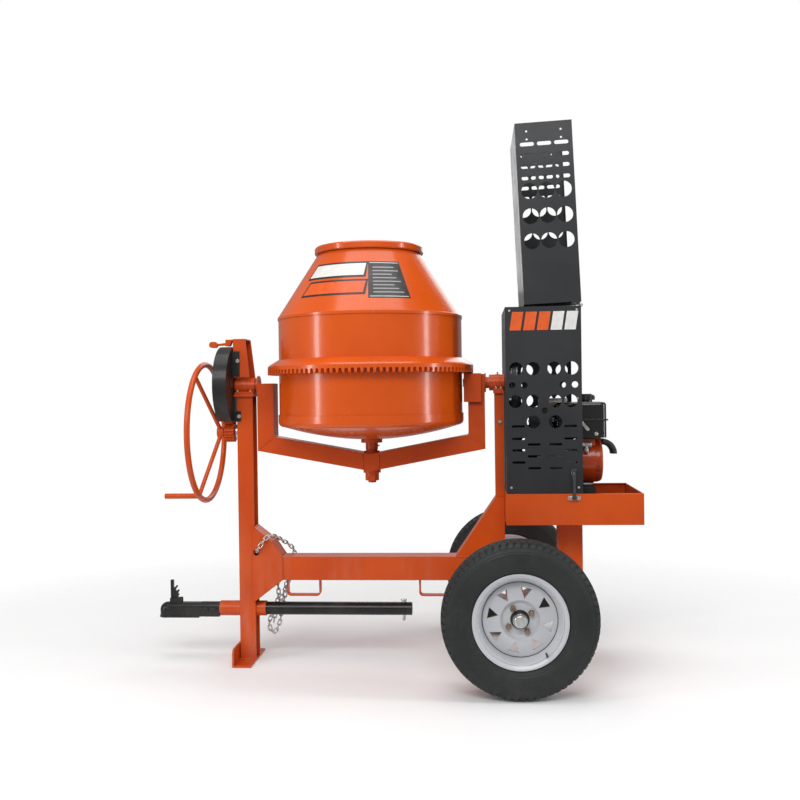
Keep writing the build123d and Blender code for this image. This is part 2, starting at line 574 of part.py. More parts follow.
def belt_loop(offset):
    """The outline that a belt follows round both pulleys, grown or shrunk by an offset."""
    big, small = DRIVEN_R + offset, CRANK_PULLEY_R + offset
    lean = asin((small - big) / (TILT_Z - CRANK_Z))
    high, low = TILT_Z + big * sin(lean), CRANK_Z + small * sin(lean)
    wide, narrow = big * cos(lean), small * cos(lean)
    with BuildSketch(Plane.YZ.offset(PULLEY_X - BELT_W / 2)) as face:
        with BuildLine():
            ThreePointArc((-wide, high), (0, TILT_Z + big), (wide, high))
            Line((wide, high), (narrow, low))
            ThreePointArc((narrow, low), (0, CRANK_Z - small), (-narrow, low))
            Line((-narrow, low), (-wide, high))
        make_face()
    return face.sketch


with BuildPart() as drive_belt:
    extrude(belt_loop(-0.5), amount=BELT_W)
    extrude(belt_loop(-BELT_H - 0.5), amount=BELT_W, mode=Mode.SUBTRACT)
save(drive_belt.part, "drive_belt")

# ================================================================ yoke
ARM_TOP_LEFT, ARM_TOP_RIGHT = 1222.0, 1145.0


def yoke_outline(shrink):
    """The yoke in the (x, z) plane, with every face moved inwards by shrink."""
    outer, inner = YOKE_OUT - shrink, YOKE_IN + shrink
    drop = shrink * sqrt(1 + YOKE_SLOPE ** 2)
    top = YOKE_MID_TOP - drop
    bottom = YOKE_MID_TOP - YOKE_DEPTH + drop
    return [(DRUM_X - outer, ARM_TOP_LEFT - shrink), (DRUM_X - outer, bottom + YOKE_SLOPE * outer),
            (DRUM_X, bottom), (DRUM_X + outer, bottom + YOKE_SLOPE * outer),
            (DRUM_X + outer, ARM_TOP_RIGHT - shrink), (DRUM_X + inner, ARM_TOP_RIGHT - shrink),
            (DRUM_X + inner, top + YOKE_SLOPE * inner), (DRUM_X, top),
            (DRUM_X - inner, top + YOKE_SLOPE * inner), (DRUM_X - inner, ARM_TOP_LEFT - shrink)]


KINGPIN_R = 17.5
BOSS_TOP = 917.0
with BuildPart() as yoke_frame:
    plate_y(-YOKE_HALF, YOKE_HALF, yoke_outline(0.0))
    plate_y(-YOKE_HALF + YOKE_WALL, YOKE_HALF - YOKE_WALL, yoke_outline(YOKE_WALL), Mode.SUBTRACT)
    block(DRUM_X + YOKE_OUT - 15, DRUM_X + YOKE_OUT, -YOKE_HALF, YOKE_HALF, ARM_TOP_RIGHT - 8, 1250)
    rod_z(825, BOSS_TOP, DRUM_X, 0, 38)
    rod_z(824, BOSS_TOP + 1, DRUM_X, 0, KINGPIN_R, Mode.SUBTRACT)
    rod_x(DRUM_X + YOKE_OUT - 16, DRUM_X + YOKE_OUT + 1, 0, TILT_Z, TRUNNION_R, Mode.SUBTRACT)
save(yoke_frame.part, "yoke_frame")

TUBE_X0 = DRUM_X + YOKE_OUT - 15
with BuildPart() as trunnions:
    rod_x(-738, DRUM_X - YOKE_OUT, 0, TILT_Z, TRUNNION_R)
    rod_x(DRUM_X - YOKE_OUT - 6, DRUM_X - YOKE_OUT, 0, TILT_Z, 44)
    rod_x(TUBE_X0, RIGHT_BEARING[1] + 3, 0, TILT_Z, TRUNNION_R)
    rod_x(DRUM_X + YOKE_OUT, DRUM_X + YOKE_OUT + 6, 0, TILT_Z, 42)
    rod_x(TUBE_X0 - 1, RIGHT_BEARING[1] + 4, 0, TILT_Z, SHAFT_R + 0.06, Mode.SUBTRACT)
save(trunnions.part, "trunnions")


def gear_face(teeth, root, tip, root_width, tip_width):
    """A spur gear's outline about its own centre, one tooth pointing along local +X."""
    with BuildSketch(Plane.XY, mode=Mode.PRIVATE) as face:
        Circle(root)
        with PolarLocations(0, teeth):
            Polygon((root - 2, -root_width / 2), (tip, -tip_width / 2), (tip, tip_width / 2),
                    (root - 2, root_width / 2), align=None)
    return face.sketch


GEAR_X0, GEAR_X1 = -735.0, -699.0
GEAR_R = GEAR_MODULE * GEAR_TEETH / 2
with BuildPart() as tilt_gear:
    gear = gear_face(GEAR_TEETH, GEAR_R - 5.0, GEAR_R + 3.6, 6.6, 3.0)
    extrude(Plane((GEAR_X0, 0, TILT_Z), x_dir=(0, 0, -1), z_dir=(1, 0, 0)) * gear,
            amount=GEAR_X1 - GEAR_X0)
    rod_x(GEAR_X0 - 1, GEAR_X0 + 10, 0, TILT_Z, GEAR_R - 18, Mode.SUBTRACT)
    rod_x(GEAR_X1 - 10, GEAR_X1 + 1, 0, TILT_Z, GEAR_R - 18, Mode.SUBTRACT)
    rod_x(GEAR_X0, GEAR_X1, 0, TILT_Z, 44)
    rod_x(GEAR_X0 - 1, GEAR_X1 + 1, 0, TILT_Z, TRUNNION_R, Mode.SUBTRACT)
save(tilt_gear.part, "tilt_gear")

PINION_R = GEAR_MODULE * TILT_PINION_TEETH / 2
HALF_TOOTH = 180.0 / TILT_PINION_TEETH
SHAFT_HAND_R = 12.5
with BuildPart() as tilt_pinion:
    small = gear_face(TILT_PINION_TEETH, PINION_R - 5.0, PINION_R + 3.6, 6.2, 3.0)
    turned_gear = Rot(0, 0, HALF_TOOTH) * small
    extrude(Plane((-739, 0, HAND_Z), x_dir=(0, 0, 1), z_dir=(1, 0, 0)) * turned_gear, amount=44)
    rod_x(-772, POST_LEFT + 52, 0, HAND_Z, SHAFT_HAND_R)
    rod_x(POST_LEFT + 42, POST_LEFT + 50, 0, HAND_Z, 21)
save(tilt_pinion.part, "tilt_pinion")

HUB_DISC_TOP = 973.0
with BuildPart() as kingpin:
    rod_z(782, HUB_DISC_TOP - 3, DRUM_X, 0, KINGPIN_R - 0.05)
    rod_z(BOSS_TOP, 921, DRUM_X, 0, 34)
    rod_z(921, 926.5, DRUM_X, 0, 25)
    rod_z(815, 825, DRUM_X, 0, 30)
    hex_head(DRUM_X, 0, 791, 52, 24)
save(kingpin.part, "kingpin")

GUARD_Y, GUARD_T = 69.0, 3.0
GUARD_Z0, GUARD_Z1 = 1130.0, 1253.0
WEB_X = DRUM_X + YOKE_OUT - 15
with BuildPart() as pinion_guard:
    for side in (-1, 1):
        y = side * (GUARD_Y + GUARD_T / 2)
        block(320, WEB_X, y - GUARD_T / 2, y + GUARD_T / 2, GUARD_Z0, GUARD_Z1)
    block(WEB_X - GUARD_T, WEB_X, -GUARD_Y, GUARD_Y, ARM_TOP_RIGHT, GUARD_Z1)
    rod_x(WEB_X - GUARD_T - 1, WEB_X + 1, 0, TILT_Z, 22, Mode.SUBTRACT)
save(pinion_guard.part, "pinion_guard")

# ================================================================ drum


def drum_turned(points, mode=Mode.ADD):
    """Turn a closed outline of (radius, z) points about the drum's axis."""
    with BuildSketch(DRUM_PLANE) as profile:
        Polygon(*points, align=None)
    turned(profile, DRUM_AXIS, mode)


SHELL_IN = DRUM_R - DRUM_WALL
with BuildPart() as drum_shell:
    drum_turned([(SHELL_IN, DRUM_Z0 + 8), (DRUM_R, DRUM_Z0 + 8), (DRUM_R, SEAM_Z - 6),
                 (SHELL_IN, SEAM_Z - 6)])
save(drum_shell.part, "drum_shell")

DISH_Z = 974.0
FLANGE_R = 404.5
with BuildPart() as drum_bottom:
    with BuildSketch(DRUM_PLANE) as profile:
        with BuildLine():
            Line((30, DISH_Z), (70, DISH_Z))
            ThreePointArc((70, DISH_Z), (250, 998), (386, 1033))
            ThreePointArc((386, 1033), (399.5, 1040), (FLANGE_R, 1052))
            Line((FLANGE_R, 1052), (FLANGE_R, 1084))
            Line((FLANGE_R, 1084), (DRUM_R + 0.2, 1084))
            Line((DRUM_R + 0.2, 1084), (DRUM_R + 0.2, 1054))
            ThreePointArc((DRUM_R + 0.2, 1054), (396, 1043.5), (384, 1038))
            ThreePointArc((384, 1038), (249, 1003.5), (70, 979.5))
            Line((70, 979.5), (30, 979.5))
            Line((30, 979.5), (30, DISH_Z))
        make_face()
    turned(profile, DRUM_AXIS)
save(drum_bottom.part, "drum_bottom")

with BuildPart() as drum_cone:
    drum_turned([(DRUM_R + 3, SEAM_Z - 6), (DRUM_R + 3, SEAM_Z + 6), (DRUM_R, SEAM_Z + 8),
                 (NECK_R, NECK_Z), (NECK_R - 4.5, NECK_Z), (DRUM_R - 5, SEAM_Z + 5),
                 (DRUM_R - 5, SEAM_Z - 5.9), (DRUM_R, SEAM_Z - 5.9)])
save(drum_cone.part, "drum_cone")

with BuildPart() as mouth_ring:
    lip = NECK_Z + 0.2
    drum_turned([(NECK_R - 5, lip), (MOUTH_R - 3, lip), (MOUTH_R, lip + 4), (MOUTH_R, MOUTH_Z - 6),
                 (MOUTH_R - 5, MOUTH_Z), (NECK_R - 1, MOUTH_Z), (NECK_R - 5, MOUTH_Z - 5)])
save(mouth_ring.part, "mouth_ring")

RING_IN = DRUM_R + 0.2
GAP_WIDE, GAP_NARROW = 16.8, 10.8
gap_plane = Plane((DRUM_R + 4, 0, 0), x_dir=(0, 1, 0), z_dir=(1, 0, 0))
gap_shape = Polygon((-GAP_WIDE / 2, RING_TIP_Z - 1), (GAP_WIDE / 2, RING_TIP_Z - 1),
                    (GAP_NARROW / 2, RING_ROOT_Z), (-GAP_NARROW / 2, RING_ROOT_Z), align=None)
tooth_gap = extrude(gap_plane * gap_shape, amount=RING_R - DRUM_R)
with BuildPart() as ring_gear:
    drum_turned([(RING_IN, RING_TIP_Z), (RING_R, RING_TIP_Z), (RING_R, 1290), (RING_R - 6, 1297),
                 (DRUM_R + 5, 1320), (RING_IN, 1320)])
    with Locations((DRUM_X, 0, 0)):
        with PolarLocations(0, RING_TEETH):
            add(tooth_gap, mode=Mode.SUBTRACT)
save(ring_gear.part, "ring_gear")

PADDLE_T = 6.0
PADDLE_LEAN = 25.0
level, lean = cos(radians(PADDLE_LEAN)), sin(radians(PADDLE_LEAN))
with BuildPart() as mixing_paddles:
    for turn in (20, 140, 260):
        angle = radians(turn)
        arm = Plane((DRUM_X + 300 * cos(angle), 300 * sin(angle), 1255),
                    x_dir=(cos(angle), sin(angle), 0),
                    z_dir=(-sin(angle) * level, cos(angle) * level, lean))
        with BuildSketch(arm) as blade:
            Polygon((-70, -150), (70, -160), (80, 165), (20, 190), (-60, 130), align=None)
        extrude(blade.sketch, amount=PADDLE_T)
        for rise in (-105.0, 105.0):
            side = -rise * tan(radians(PADDLE_LEAN))
            foot = Plane((DRUM_X + 378 * cos(angle) - side * sin(angle),
                          378 * sin(angle) + side * cos(angle), 1255 + rise),
                         x_dir=(cos(angle), sin(angle), 0), z_dir=(0, 0, 1))
            with Locations(foot):
                Box(50, 44, 8)
    wall = SHELL_IN - 0.02
    drum_turned([(0, 1000), (wall, 1000), (wall, 1480), (0, 1480)], Mode.INTERSECT)
save(mixing_paddles.part, "mixing_paddles")

with BuildPart() as drum_hub:
    rod_z(927, 960, DRUM_X, 0, 27)
    rod_z(957, HUB_DISC_TOP, DRUM_X, 0, 46.5)
    rod_z(HUB_DISC_TOP, 1010, DRUM_X, 0, 29.5)
    rod_z(980, 1012, DRUM_X, 0, 62)
    rod_z(926.5, 980, DRUM_X, 0, KINGPIN_R + 0.05, Mode.SUBTRACT)
    rod_x(DRUM_X + 25, DRUM_X + 34, 0, 943, 3)
save(drum_hub.part, "drum_hub")

# ================================================================ drive shaft
with BuildPart() as drive_shaft:
    rod_x(316, PULLEY_X + 20, 0, TILT_Z, SHAFT_R)
    rod_x(PULLEY_X + 18, PULLEY_X + 24, 0, TILT_Z, 26)
save(drive_shaft.part, "drive_shaft")

with BuildPart() as bevel_pinion:
    small = gear_face(PINION_TEETH, 41.5, 58.4, 10.2, 4.2)
    extrude(Plane((322, 0, TILT_Z), x_dir=(0, 0, 1), z_dir=(1, 0, 0)) * small, amount=38)
    rod_x(360, WEB_X - GUARD_T - 4, 0, TILT_Z, 30)
    rod_x(321, WEB_X - GUARD_T - 3, 0, TILT_Z, SHAFT_R, Mode.SUBTRACT)
save(bevel_pinion.part, "bevel_pinion")

# ================================================================ handwheel and lock lever
SPOKE_ANGLES = (124.0, 244.0, 4.0)
with BuildPart() as handwheel:
    with BuildSketch(Plane.XZ) as tube:
        with Locations((HAND_X, HAND_Z + HAND_R)):
            Circle(HAND_TUBE)
    turned(tube, Axis((HAND_X, 0, HAND_Z), (1, 0, 0)))
    rod_x(-774, -746, 0, HAND_Z, 24)
    for turn in SPOKE_ANGLES:
        angle = radians(turn)
        start = Vector(-762, 20 * cos(angle), HAND_Z + 20 * sin(angle))
        end = Vector(HAND_X, (HAND_R - 4) * cos(angle), HAND_Z + (HAND_R - 4) * sin(angle))
        with BuildSketch(Plane(start, z_dir=(end - start).normalized())) as spoke:
            Circle(9)
        extrude(spoke.sketch, amount=(end - start).length)
    angle = radians(SPOKE_ANGLES[1])
    rod_x(HAND_X - 150, HAND_X, HAND_R * cos(angle), HAND_Z + HAND_R * sin(angle), 11.5)
    rod_x(-775, -744, 0, HAND_Z, SHAFT_HAND_R, Mode.SUBTRACT)
save(handwheel.part, "handwheel")

LOCK_X, LOCK_Z = -721.0, 1400.0
with BuildPart() as lock_lever:
    rod_y(-7.5, 7.5, LOCK_X, LOCK_Z, 9)
    rod_y(-14, 14, LOCK_X, LOCK_Z, 4.05)
    lever = [(LOCK_X, LOCK_Z + 6), (-772, 1401), (-772, 1392), (LOCK_X, LOCK_Z - 6)]
    plate_y(-7, 7, lever)
    with BuildSketch(Plane.XZ.offset(-11)) as paddle:
        with Locations((-787, 1397)):
            SlotOverall(38, 27)
    extrude(paddle.sketch, amount=22)
save(lock_lever.part, "lock_lever")

# ================================================================ road wheels
LUG_PCD_R = 50.8
WINDOW_ANGLE = -12.0         # first window and first stud, from the rearward direction
STUD_ANGLE = 31.0


def wheel_parts(side, name):
    """Tyre, rim and hub of one wheel; side is -1 or 1 and sets the outer face."""
    axis = Axis((WHEEL_X, 0, TYRE_R), (0, 1, 0))

    def place(points):
        return [(side * (WHEEL_Y + y), TYRE_R + r) for y, r in points]

    with BuildPart() as tyre:
        with BuildSketch(Plane.YZ.offset(WHEEL_X)) as section:
            outline = [(-60, 166.4), (-65.2, 174), (-65.2, 185), (-73, 190), (-80, 205),
                       (-86, 232), (-84, 262), (-76, 284), (-63, 297), (-30, 302.4), (0, 303),
                       (30, 302.4), (63, 297), (76, 284), (84, 262), (86, 232), (80, 205),
                       (73, 190), (65.2, 185), (65.2, 174), (60, 166.4)]
            inner = [(-50, 166), (50, 166), (56, 188), (74, 232), (70, 262), (52, 284), (-52, 284),
                     (-70, 262), (-74, 232), (-56, 188)]
            Polygon(*place(outline), align=None)
            Polygon(*place(inner), align=None, mode=Mode.SUBTRACT)
        turned(section, axis)
    save(tyre.part, f"tyre_{name}")

    with BuildPart() as rim:
        with BuildSketch(Plane.YZ.offset(WHEEL_X)) as band:
            rim_line = [(70, 183), (70, 176), (64, 165.7), (48, 160), (14, 148), (-24, 148),
                        (-50, 160), (-64, 165.7), (-70, 176), (-70, 183), (-66, 183),
                        (-66, 173), (-61, 162), (-48, 156), (-24, 144), (14, 144), (48, 156),
                        (61, 162), (66, 173), (66, 183)]
            Polygon(*place(rim_line), align=None)
        turned(band, axis)
        with BuildSketch(Plane.YZ.offset(WHEEL_X)) as section:
            disc = [(10, 145), (16, 145), (20, 126), (26, 100), (29, 76), (20, 66), (18, 62),
                    (18, 37), (12, 37), (12, 64), (14, 70), (22, 78), (19, 98), (13, 122)]
            Polygon(*place(disc), align=None)
        turned(section, axis)
        face_plane = Plane((WHEEL_X, side * (WHEEL_Y + 60), TYRE_R), x_dir=(1, 0, 0),
                           z_dir=(0, -side, 0))
        with BuildSketch(face_plane) as windows:
            with PolarLocations(0, 8, start_angle=WINDOW_ANGLE * side):
                Polygon((84, 0), (124, -22), (124, 22), align=None)
        extrude(windows.sketch, amount=60, mode=Mode.SUBTRACT)
        with BuildSketch(face_plane) as studs:
            with PolarLocations(LUG_PCD_R, 4, start_angle=STUD_ANGLE * side):
                Circle(7)
        extrude(studs.sketch, amount=60, mode=Mode.SUBTRACT)
    save(rim.part, f"rim_{name}")

    def outward(y):
        return side * (WHEEL_Y + y)

    def turned_band(y0, y1, radius, mode=Mode.ADD):
        low, high = sorted((outward(y0), outward(y1)))
        rod_y(low, high, WHEEL_X, TYRE_R, radius, mode)

    with BuildPart() as hub:
        turned_band(-52, 8, 40)
        turned_band(4, 12, 66)
        turned_band(8, 46, 28)
        turned_band(46, 64, 25)
        turned_band(-53, 44, SPINDLE_R + 0.06, Mode.SUBTRACT)
        fillet(hub.faces().sort_by(Axis((0, 0, 0), (0, side, 0)))[-1].edges(), 8)
        for index in range(4):
            angle = radians(STUD_ANGLE + 90 * index)
            x = WHEEL_X + LUG_PCD_R * cos(angle)
            z = TYRE_R + LUG_PCD_R * sin(angle)
            low, high = sorted((outward(10), outward(38)))
            rod_y(low, high, x, z, 6)
            hex_head(x, outward(18.2), z, 20, 15, "Y" if side > 0 else "-Y")
    save(hub.part, f"hub_{name}")


wheel_parts(-1, "left")
wheel_parts(1, "right")

# ================================================================ tow bar and coupler
PIN_R = 7.0
COUPLER_BOLTS = (-830.0, -795.0)
with BuildPart() as tow_bar:
    rod_x(-860, 81, 0, TOW_Z, TOW_R)
    rod_x(-861, 82, 0, TOW_Z, TOW_R - 4.5, Mode.SUBTRACT)
    rod_z(TOW_Z - TOW_R - 1, TOW_Z + TOW_R + 1, PIN_X, 0, PIN_R + 0.06, Mode.SUBTRACT)
    rod_z(TOW_Z - TOW_R - 1, TOW_Z + TOW_R + 1, -520, 0, PIN_R + 0.06, Mode.SUBTRACT)
    for x in COUPLER_BOLTS:
        rod_y(-TOW_R, TOW_R, x, TOW_Z, 5.1, Mode.SUBTRACT)
save(tow_bar.part, "tow_bar")

BALL_X = -1013.0
BALL_R = 25.4
with BuildPart() as coupler:
    block(BALL_X, -773, -30, 30, 193, 251)
    fillet(coupler.edges().filter_by(Axis.X).group_by(Axis.Z)[-1], 16)
    with BuildSketch(Plane.XY.offset(193)) as nose:
        with Locations((BALL_X, 0)):
            Circle(34)
    extrude(nose.sketch, amount=26)
    with Locations((BALL_X, 0, 219)):
        Sphere(34)
    block(BALL_X + 4, -862, -26, 26, 180, 218, Mode.SUBTRACT)
    rod_x(-861, -772, 0, TOW_Z, TOW_R + 0.05, Mode.SUBTRACT)
    with Locations((BALL_X, 0, 219)):
        Sphere(BALL_R + 0.5, mode=Mode.SUBTRACT)
    rod_z(180, 219, BALL_X, 0, BALL_R + 0.5, Mode.SUBTRACT)
    with BuildSketch(Plane.XY.offset(189)) as flange:
        with Locations((BALL_X, 0)):
            Circle(36)
        with Locations((BALL_X + 75, 0)):
            Rectangle(150, 68)
        with Locations((BALL_X, 0)):
            Circle(BALL_R + 0.5, mode=Mode.SUBTRACT)
        with Locations((BALL_X + 78, 0)):
            Rectangle(148, 52, mode=Mode.SUBTRACT)
    extrude(flange.sketch, amount=4.5)
    for side in (-1, 1):
        y = side * 12
        block(-1000, -948, y - 3, y + 3, 244, 272)
    rod_y(-16, 16, -972, 262, 4.1, Mode.SUBTRACT)
    for x in COUPLER_BOLTS:
        rod_y(-36, 36, x, TOW_Z, 5)
        for side in (-1, 1):
            hex_head(x, side * 30, TOW_Z, 16, 7, "Y" if side > 0 else "-Y")
save(coupler.part, "coupler")

LEVER_X, LEVER_Z = -972.0, 262.0
with BuildPart() as coupler_latch:
    rod_y(-15, 15, LEVER_X, LEVER_Z, 4.0)
    hooks = [(LEVER_X - 26, 256), (LEVER_X + 9, 256), (LEVER_X + 12, 268), (LEVER_X + 4, 276),
             (LEVER_X + 10, 284), (LEVER_X + 4, 293), (LEVER_X + 11, 300), (LEVER_X + 7, 308),
             (LEVER_X - 2, 300), (LEVER_X - 6, 306), (LEVER_X + 4, 322), (LEVER_X, 327),
             (LEVER_X - 10, 315), (LEVER_X - 14, 318), (LEVER_X - 14, 351), (LEVER_X - 26, 351)]
    plate_y(-8, 8, hooks)
save(coupler_latch.part, "coupler_latch")

with BuildPart() as hitch_pin:
    rod_z(173, 262, PIN_X, 0, PIN_R)
    rod_z(262, 268, PIN_X, 0, 13)
    rod_z(TOW_Z + TOW_R + 0.3, 262, PIN_X, 0, 9)
    rod_y(-PIN_R - 1, PIN_R + 1, PIN_X, 182, 1.6, Mode.SUBTRACT)
    chamfer(hitch_pin.faces().sort_by(Axis.Z)[0].edges(), 2)
save(hitch_pin.part, "hitch_pin")

# ================================================================ fasteners
with BuildPart() as frame_bolts:
    foot_top = POST_TOP + SHELF + 10
    for x in (-672.0, -615.0, 458.0, 479.0):
        for y in (-40.5, 40.5):
            hex_head(x, y, foot_top, 11, 7)
            rod_z(foot_top + 7, foot_top + 10, x, y, 3)
    hex_head(-665.5, -BRACKET_HALF - EAR, 1322, 16, 9, "-Y")
    hex_head(-665.5, -POST_HALF - EAR, 1080, 16, 9, "-Y")
    hex_head(474.0, -POST_HALF, 1043, 14, 8, "-Y")
    hex_head(474.0, POST_HALF, 1043, 14, 8, "Y")
    for x in (662.0, 786.0):
        for y in (-102.0, 110.0):
            hex_head(x, y, 790, 13, 8)
            rod_z(798, 803, x, y, 3.5)
    for x in (CAB_X0 + 18, CAB_X1 - 18):
        for z in (CAB_Z1 - 16, CAB_Z1 - 380, 775.0):
            rod_y(-CAB_HALF - 3, -CAB_HALF, x, z, 4.5)
            rod_y(CAB_HALF, CAB_HALF + 3, x, z, 4.5)
save(frame_bolts.part, "frame_bolts")

# ================================================================ safety chains
WIRE_R, LINK_LENGTH, LINK_WIDTH = 2.7, 22.6, 9.4      # inside sizes of one link
PITCH = 21.6
bend = LINK_WIDTH / 2 + WIRE_R
reach = LINK_LENGTH / 2 + WIRE_R - bend
with BuildPart() as chain_link:
    with BuildLine() as loop:
        Line((-reach, -bend), (reach, -bend))
        ThreePointArc((reach, -bend), (reach + bend, 0), (reach, bend))
        Line((reach, bend), (-reach, bend))
        ThreePointArc((-reach, bend), (-reach - bend, 0), (-reach, -bend))
    with BuildSketch(Plane((0, -bend, 0), z_dir=(1, 0, 0))) as wire:
        Circle(WIRE_R)
    sweep(wire.sketch, path=loop.line)


def chain(route):
    """Interlocking links along a smooth route through the given points."""
    curve = Spline(*route)
    count = int(curve.length / PITCH)
    joints = [curve.position_at(i * PITCH, position_mode=PositionMode.LENGTH)
              for i in range(count + 1)]
    links = []
    for index in range(count):
        start, end = joints[index], joints[index + 1]
        along = (end - start).normalized()
        side = along.cross(Vector(0, 1, 0)).normalized()
        up = side if index % 2 else along.cross(side)
        links.append(Plane((start + end) / 2, x_dir=along, z_dir=up) * chain_link.part)
    return links


over_gusset = [(-597, -49, 482), (-588, -68, 494), (-570, -76, 520), (-545, -68, 552),
               (-520, -35, 552), (-500, 10, 530), (-470, 50, 500), (-452, 78, 465),
               (-462, 92, 410), (-480, 94, 340), (-510, 92, 270), (-540, 92, 200), (-556, 92, 130)]
far_bunch = [(-597, 49, 482), (-585, 68, 476), (-572, 70, 430), (-552, 70, 370), (-528, 70, 310),
             (-530, 70, 250), (-552, 70, 190), (-570, 70, 130), (-552, 70, 98), (-528, 70, 130),
             (-512, 70, 200), (-496, 70, 270), (-490, 70, 330)]
with BuildPart() as safety_chains:
    add(chain(over_gusset) + chain(far_bunch))
save(safety_chains.part, "safety_chains")
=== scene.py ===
import json
import math
import bpy
import bmesh
from mathutils import Matrix, Vector, noise


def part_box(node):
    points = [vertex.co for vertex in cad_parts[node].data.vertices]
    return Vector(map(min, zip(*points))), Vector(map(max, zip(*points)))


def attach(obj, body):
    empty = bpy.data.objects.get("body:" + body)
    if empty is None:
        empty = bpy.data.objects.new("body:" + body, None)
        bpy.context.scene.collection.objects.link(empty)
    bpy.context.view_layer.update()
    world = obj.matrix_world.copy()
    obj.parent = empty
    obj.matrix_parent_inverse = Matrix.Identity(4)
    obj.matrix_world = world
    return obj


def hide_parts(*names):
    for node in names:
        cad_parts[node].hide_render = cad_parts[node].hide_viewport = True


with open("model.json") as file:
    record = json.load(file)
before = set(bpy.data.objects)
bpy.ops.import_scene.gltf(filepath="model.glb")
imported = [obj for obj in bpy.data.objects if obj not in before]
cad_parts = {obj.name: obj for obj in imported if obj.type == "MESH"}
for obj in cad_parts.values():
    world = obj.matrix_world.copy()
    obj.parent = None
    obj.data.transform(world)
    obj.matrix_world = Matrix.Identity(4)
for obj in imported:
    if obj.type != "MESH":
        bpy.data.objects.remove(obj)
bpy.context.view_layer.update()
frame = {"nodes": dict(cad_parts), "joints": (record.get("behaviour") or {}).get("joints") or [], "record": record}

NODES = frame["nodes"]
SCENE = bpy.context.scene
JOINT_AT = {joint["name"]: joint["pos_m"] for joint in frame["joints"] if "pos_m" in joint}

# ---------------------------------------------------------------- colours (linear)
ORANGE = (0.58, 0.074, 0.006)
ORANGE_DARK = (0.48, 0.055, 0.005)
DRUM_ORANGE = (0.66, 0.092, 0.006)
DRUM_DARK = (0.57, 0.074, 0.005)
DUST = (0.42, 0.36, 0.29)


# ================================================================ materials
class Graph:
    """A small builder for one node material."""

    def __init__(self, name):
        self.mat = bpy.data.materials.new(name)
        self.mat.use_nodes = True
        self.tree = self.mat.node_tree
        self.bsdf = self.tree.nodes["Principled BSDF"]
        self.coords = self.node("ShaderNodeTexCoord").outputs["Object"]

    def node(self, kind, **sockets):
        made = self.tree.nodes.new(kind)
        for key, value in sockets.items():
            made.inputs[key.replace("_", " ")].default_value = value
        return made

    def link(self, source, target):
        self.tree.links.new(source, target)

    def noise(self, scale, detail=4.0, rough=0.55, stretch=None):
        """Noise in object space; stretch scales the space first for streaks."""
        made = self.node("ShaderNodeTexNoise", Scale=scale, Detail=detail, Roughness=rough)
        source = self.coords
        if stretch:
            mapping = self.node("ShaderNodeMapping", Scale=stretch)
            self.link(source, mapping.inputs["Vector"])
            source = mapping.outputs["Vector"]
        self.link(source, made.inputs["Vector"])
        return made.outputs["Fac"]

    def ramp(self, source, low, high, bottom=0.0, top=1.0):
        """Map a value from low..high to bottom..top, clamped."""
        made = self.node("ShaderNodeMapRange")
        for key, value in (("From Min", low), ("From Max", high), ("To Min", bottom), ("To Max", top)):
            made.inputs[key].default_value = value
        self.link(source, made.inputs["Value"])
        return made.outputs["Result"]

    def mix(self, factor, first, second):
        """Mix two colours; each is a tuple or a socket."""
        made = self.node("ShaderNodeMix")
        made.data_type = "RGBA"
        self.link(factor, made.inputs[0])
        for index, value in ((6, first), (7, second)):
            if isinstance(value, tuple):
                made.inputs[index].default_value = (*value, 1.0)
            else:
                self.link(value, made.inputs[index])
        return made.outputs[2]

    def math(self, kind, first, second=None):
        made = self.node("ShaderNodeMath")
        made.operation = kind
        for index, value in ((0, first), (1, second)):
            if value is None:
                continue
            if isinstance(value, (int, float)):
                made.inputs[index].default_value = value
            else:
                self.link(value, made.inputs[index])
        return made.outputs[0]

    def height(self):
        """Height above the ground in the rest pose, in metres."""
        split = self.node("ShaderNodeSeparateXYZ")
        self.link(self.coords, split.inputs[0])
        return split.outputs[2]

    def edges(self, radius, low=0.04, high=0.3):
        """A mask that is 1 on sharp edges, and the softened normal."""
        bevel = self.node("ShaderNodeBevel", Radius=radius)
        bevel.samples = 4
        geometry = self.node("ShaderNodeNewGeometry")
        dot = self.node("ShaderNodeVectorMath")
        dot.operation = "DOT_PRODUCT"
        self.link(bevel.outputs[0], dot.inputs[0])
        self.link(geometry.outputs["Normal"], dot.inputs[1])
        away = self.math("SUBTRACT", 1.0, dot.outputs["Value"])
        return self.ramp(away, low, high), bevel.outputs[0]

    def bump(self, height, strength, distance, normal=None):
        made = self.node("ShaderNodeBump", Strength=strength, Distance=distance)
        self.link(height, made.inputs["Height"])
        if normal is not None:
            self.link(normal, made.inputs["Normal"])
        return made.outputs["Normal"]

    def finish(self, color, rough, normal=None):
        self.link(color, self.bsdf.inputs["Base Color"])
        if isinstance(rough, (int, float)):
            self.bsdf.inputs["Roughness"].default_value = rough
        else:
            self.link(rough, self.bsdf.inputs["Roughness"])
        if normal is not None:
            self.link(normal, self.bsdf.inputs["Normal"])
        return self.mat


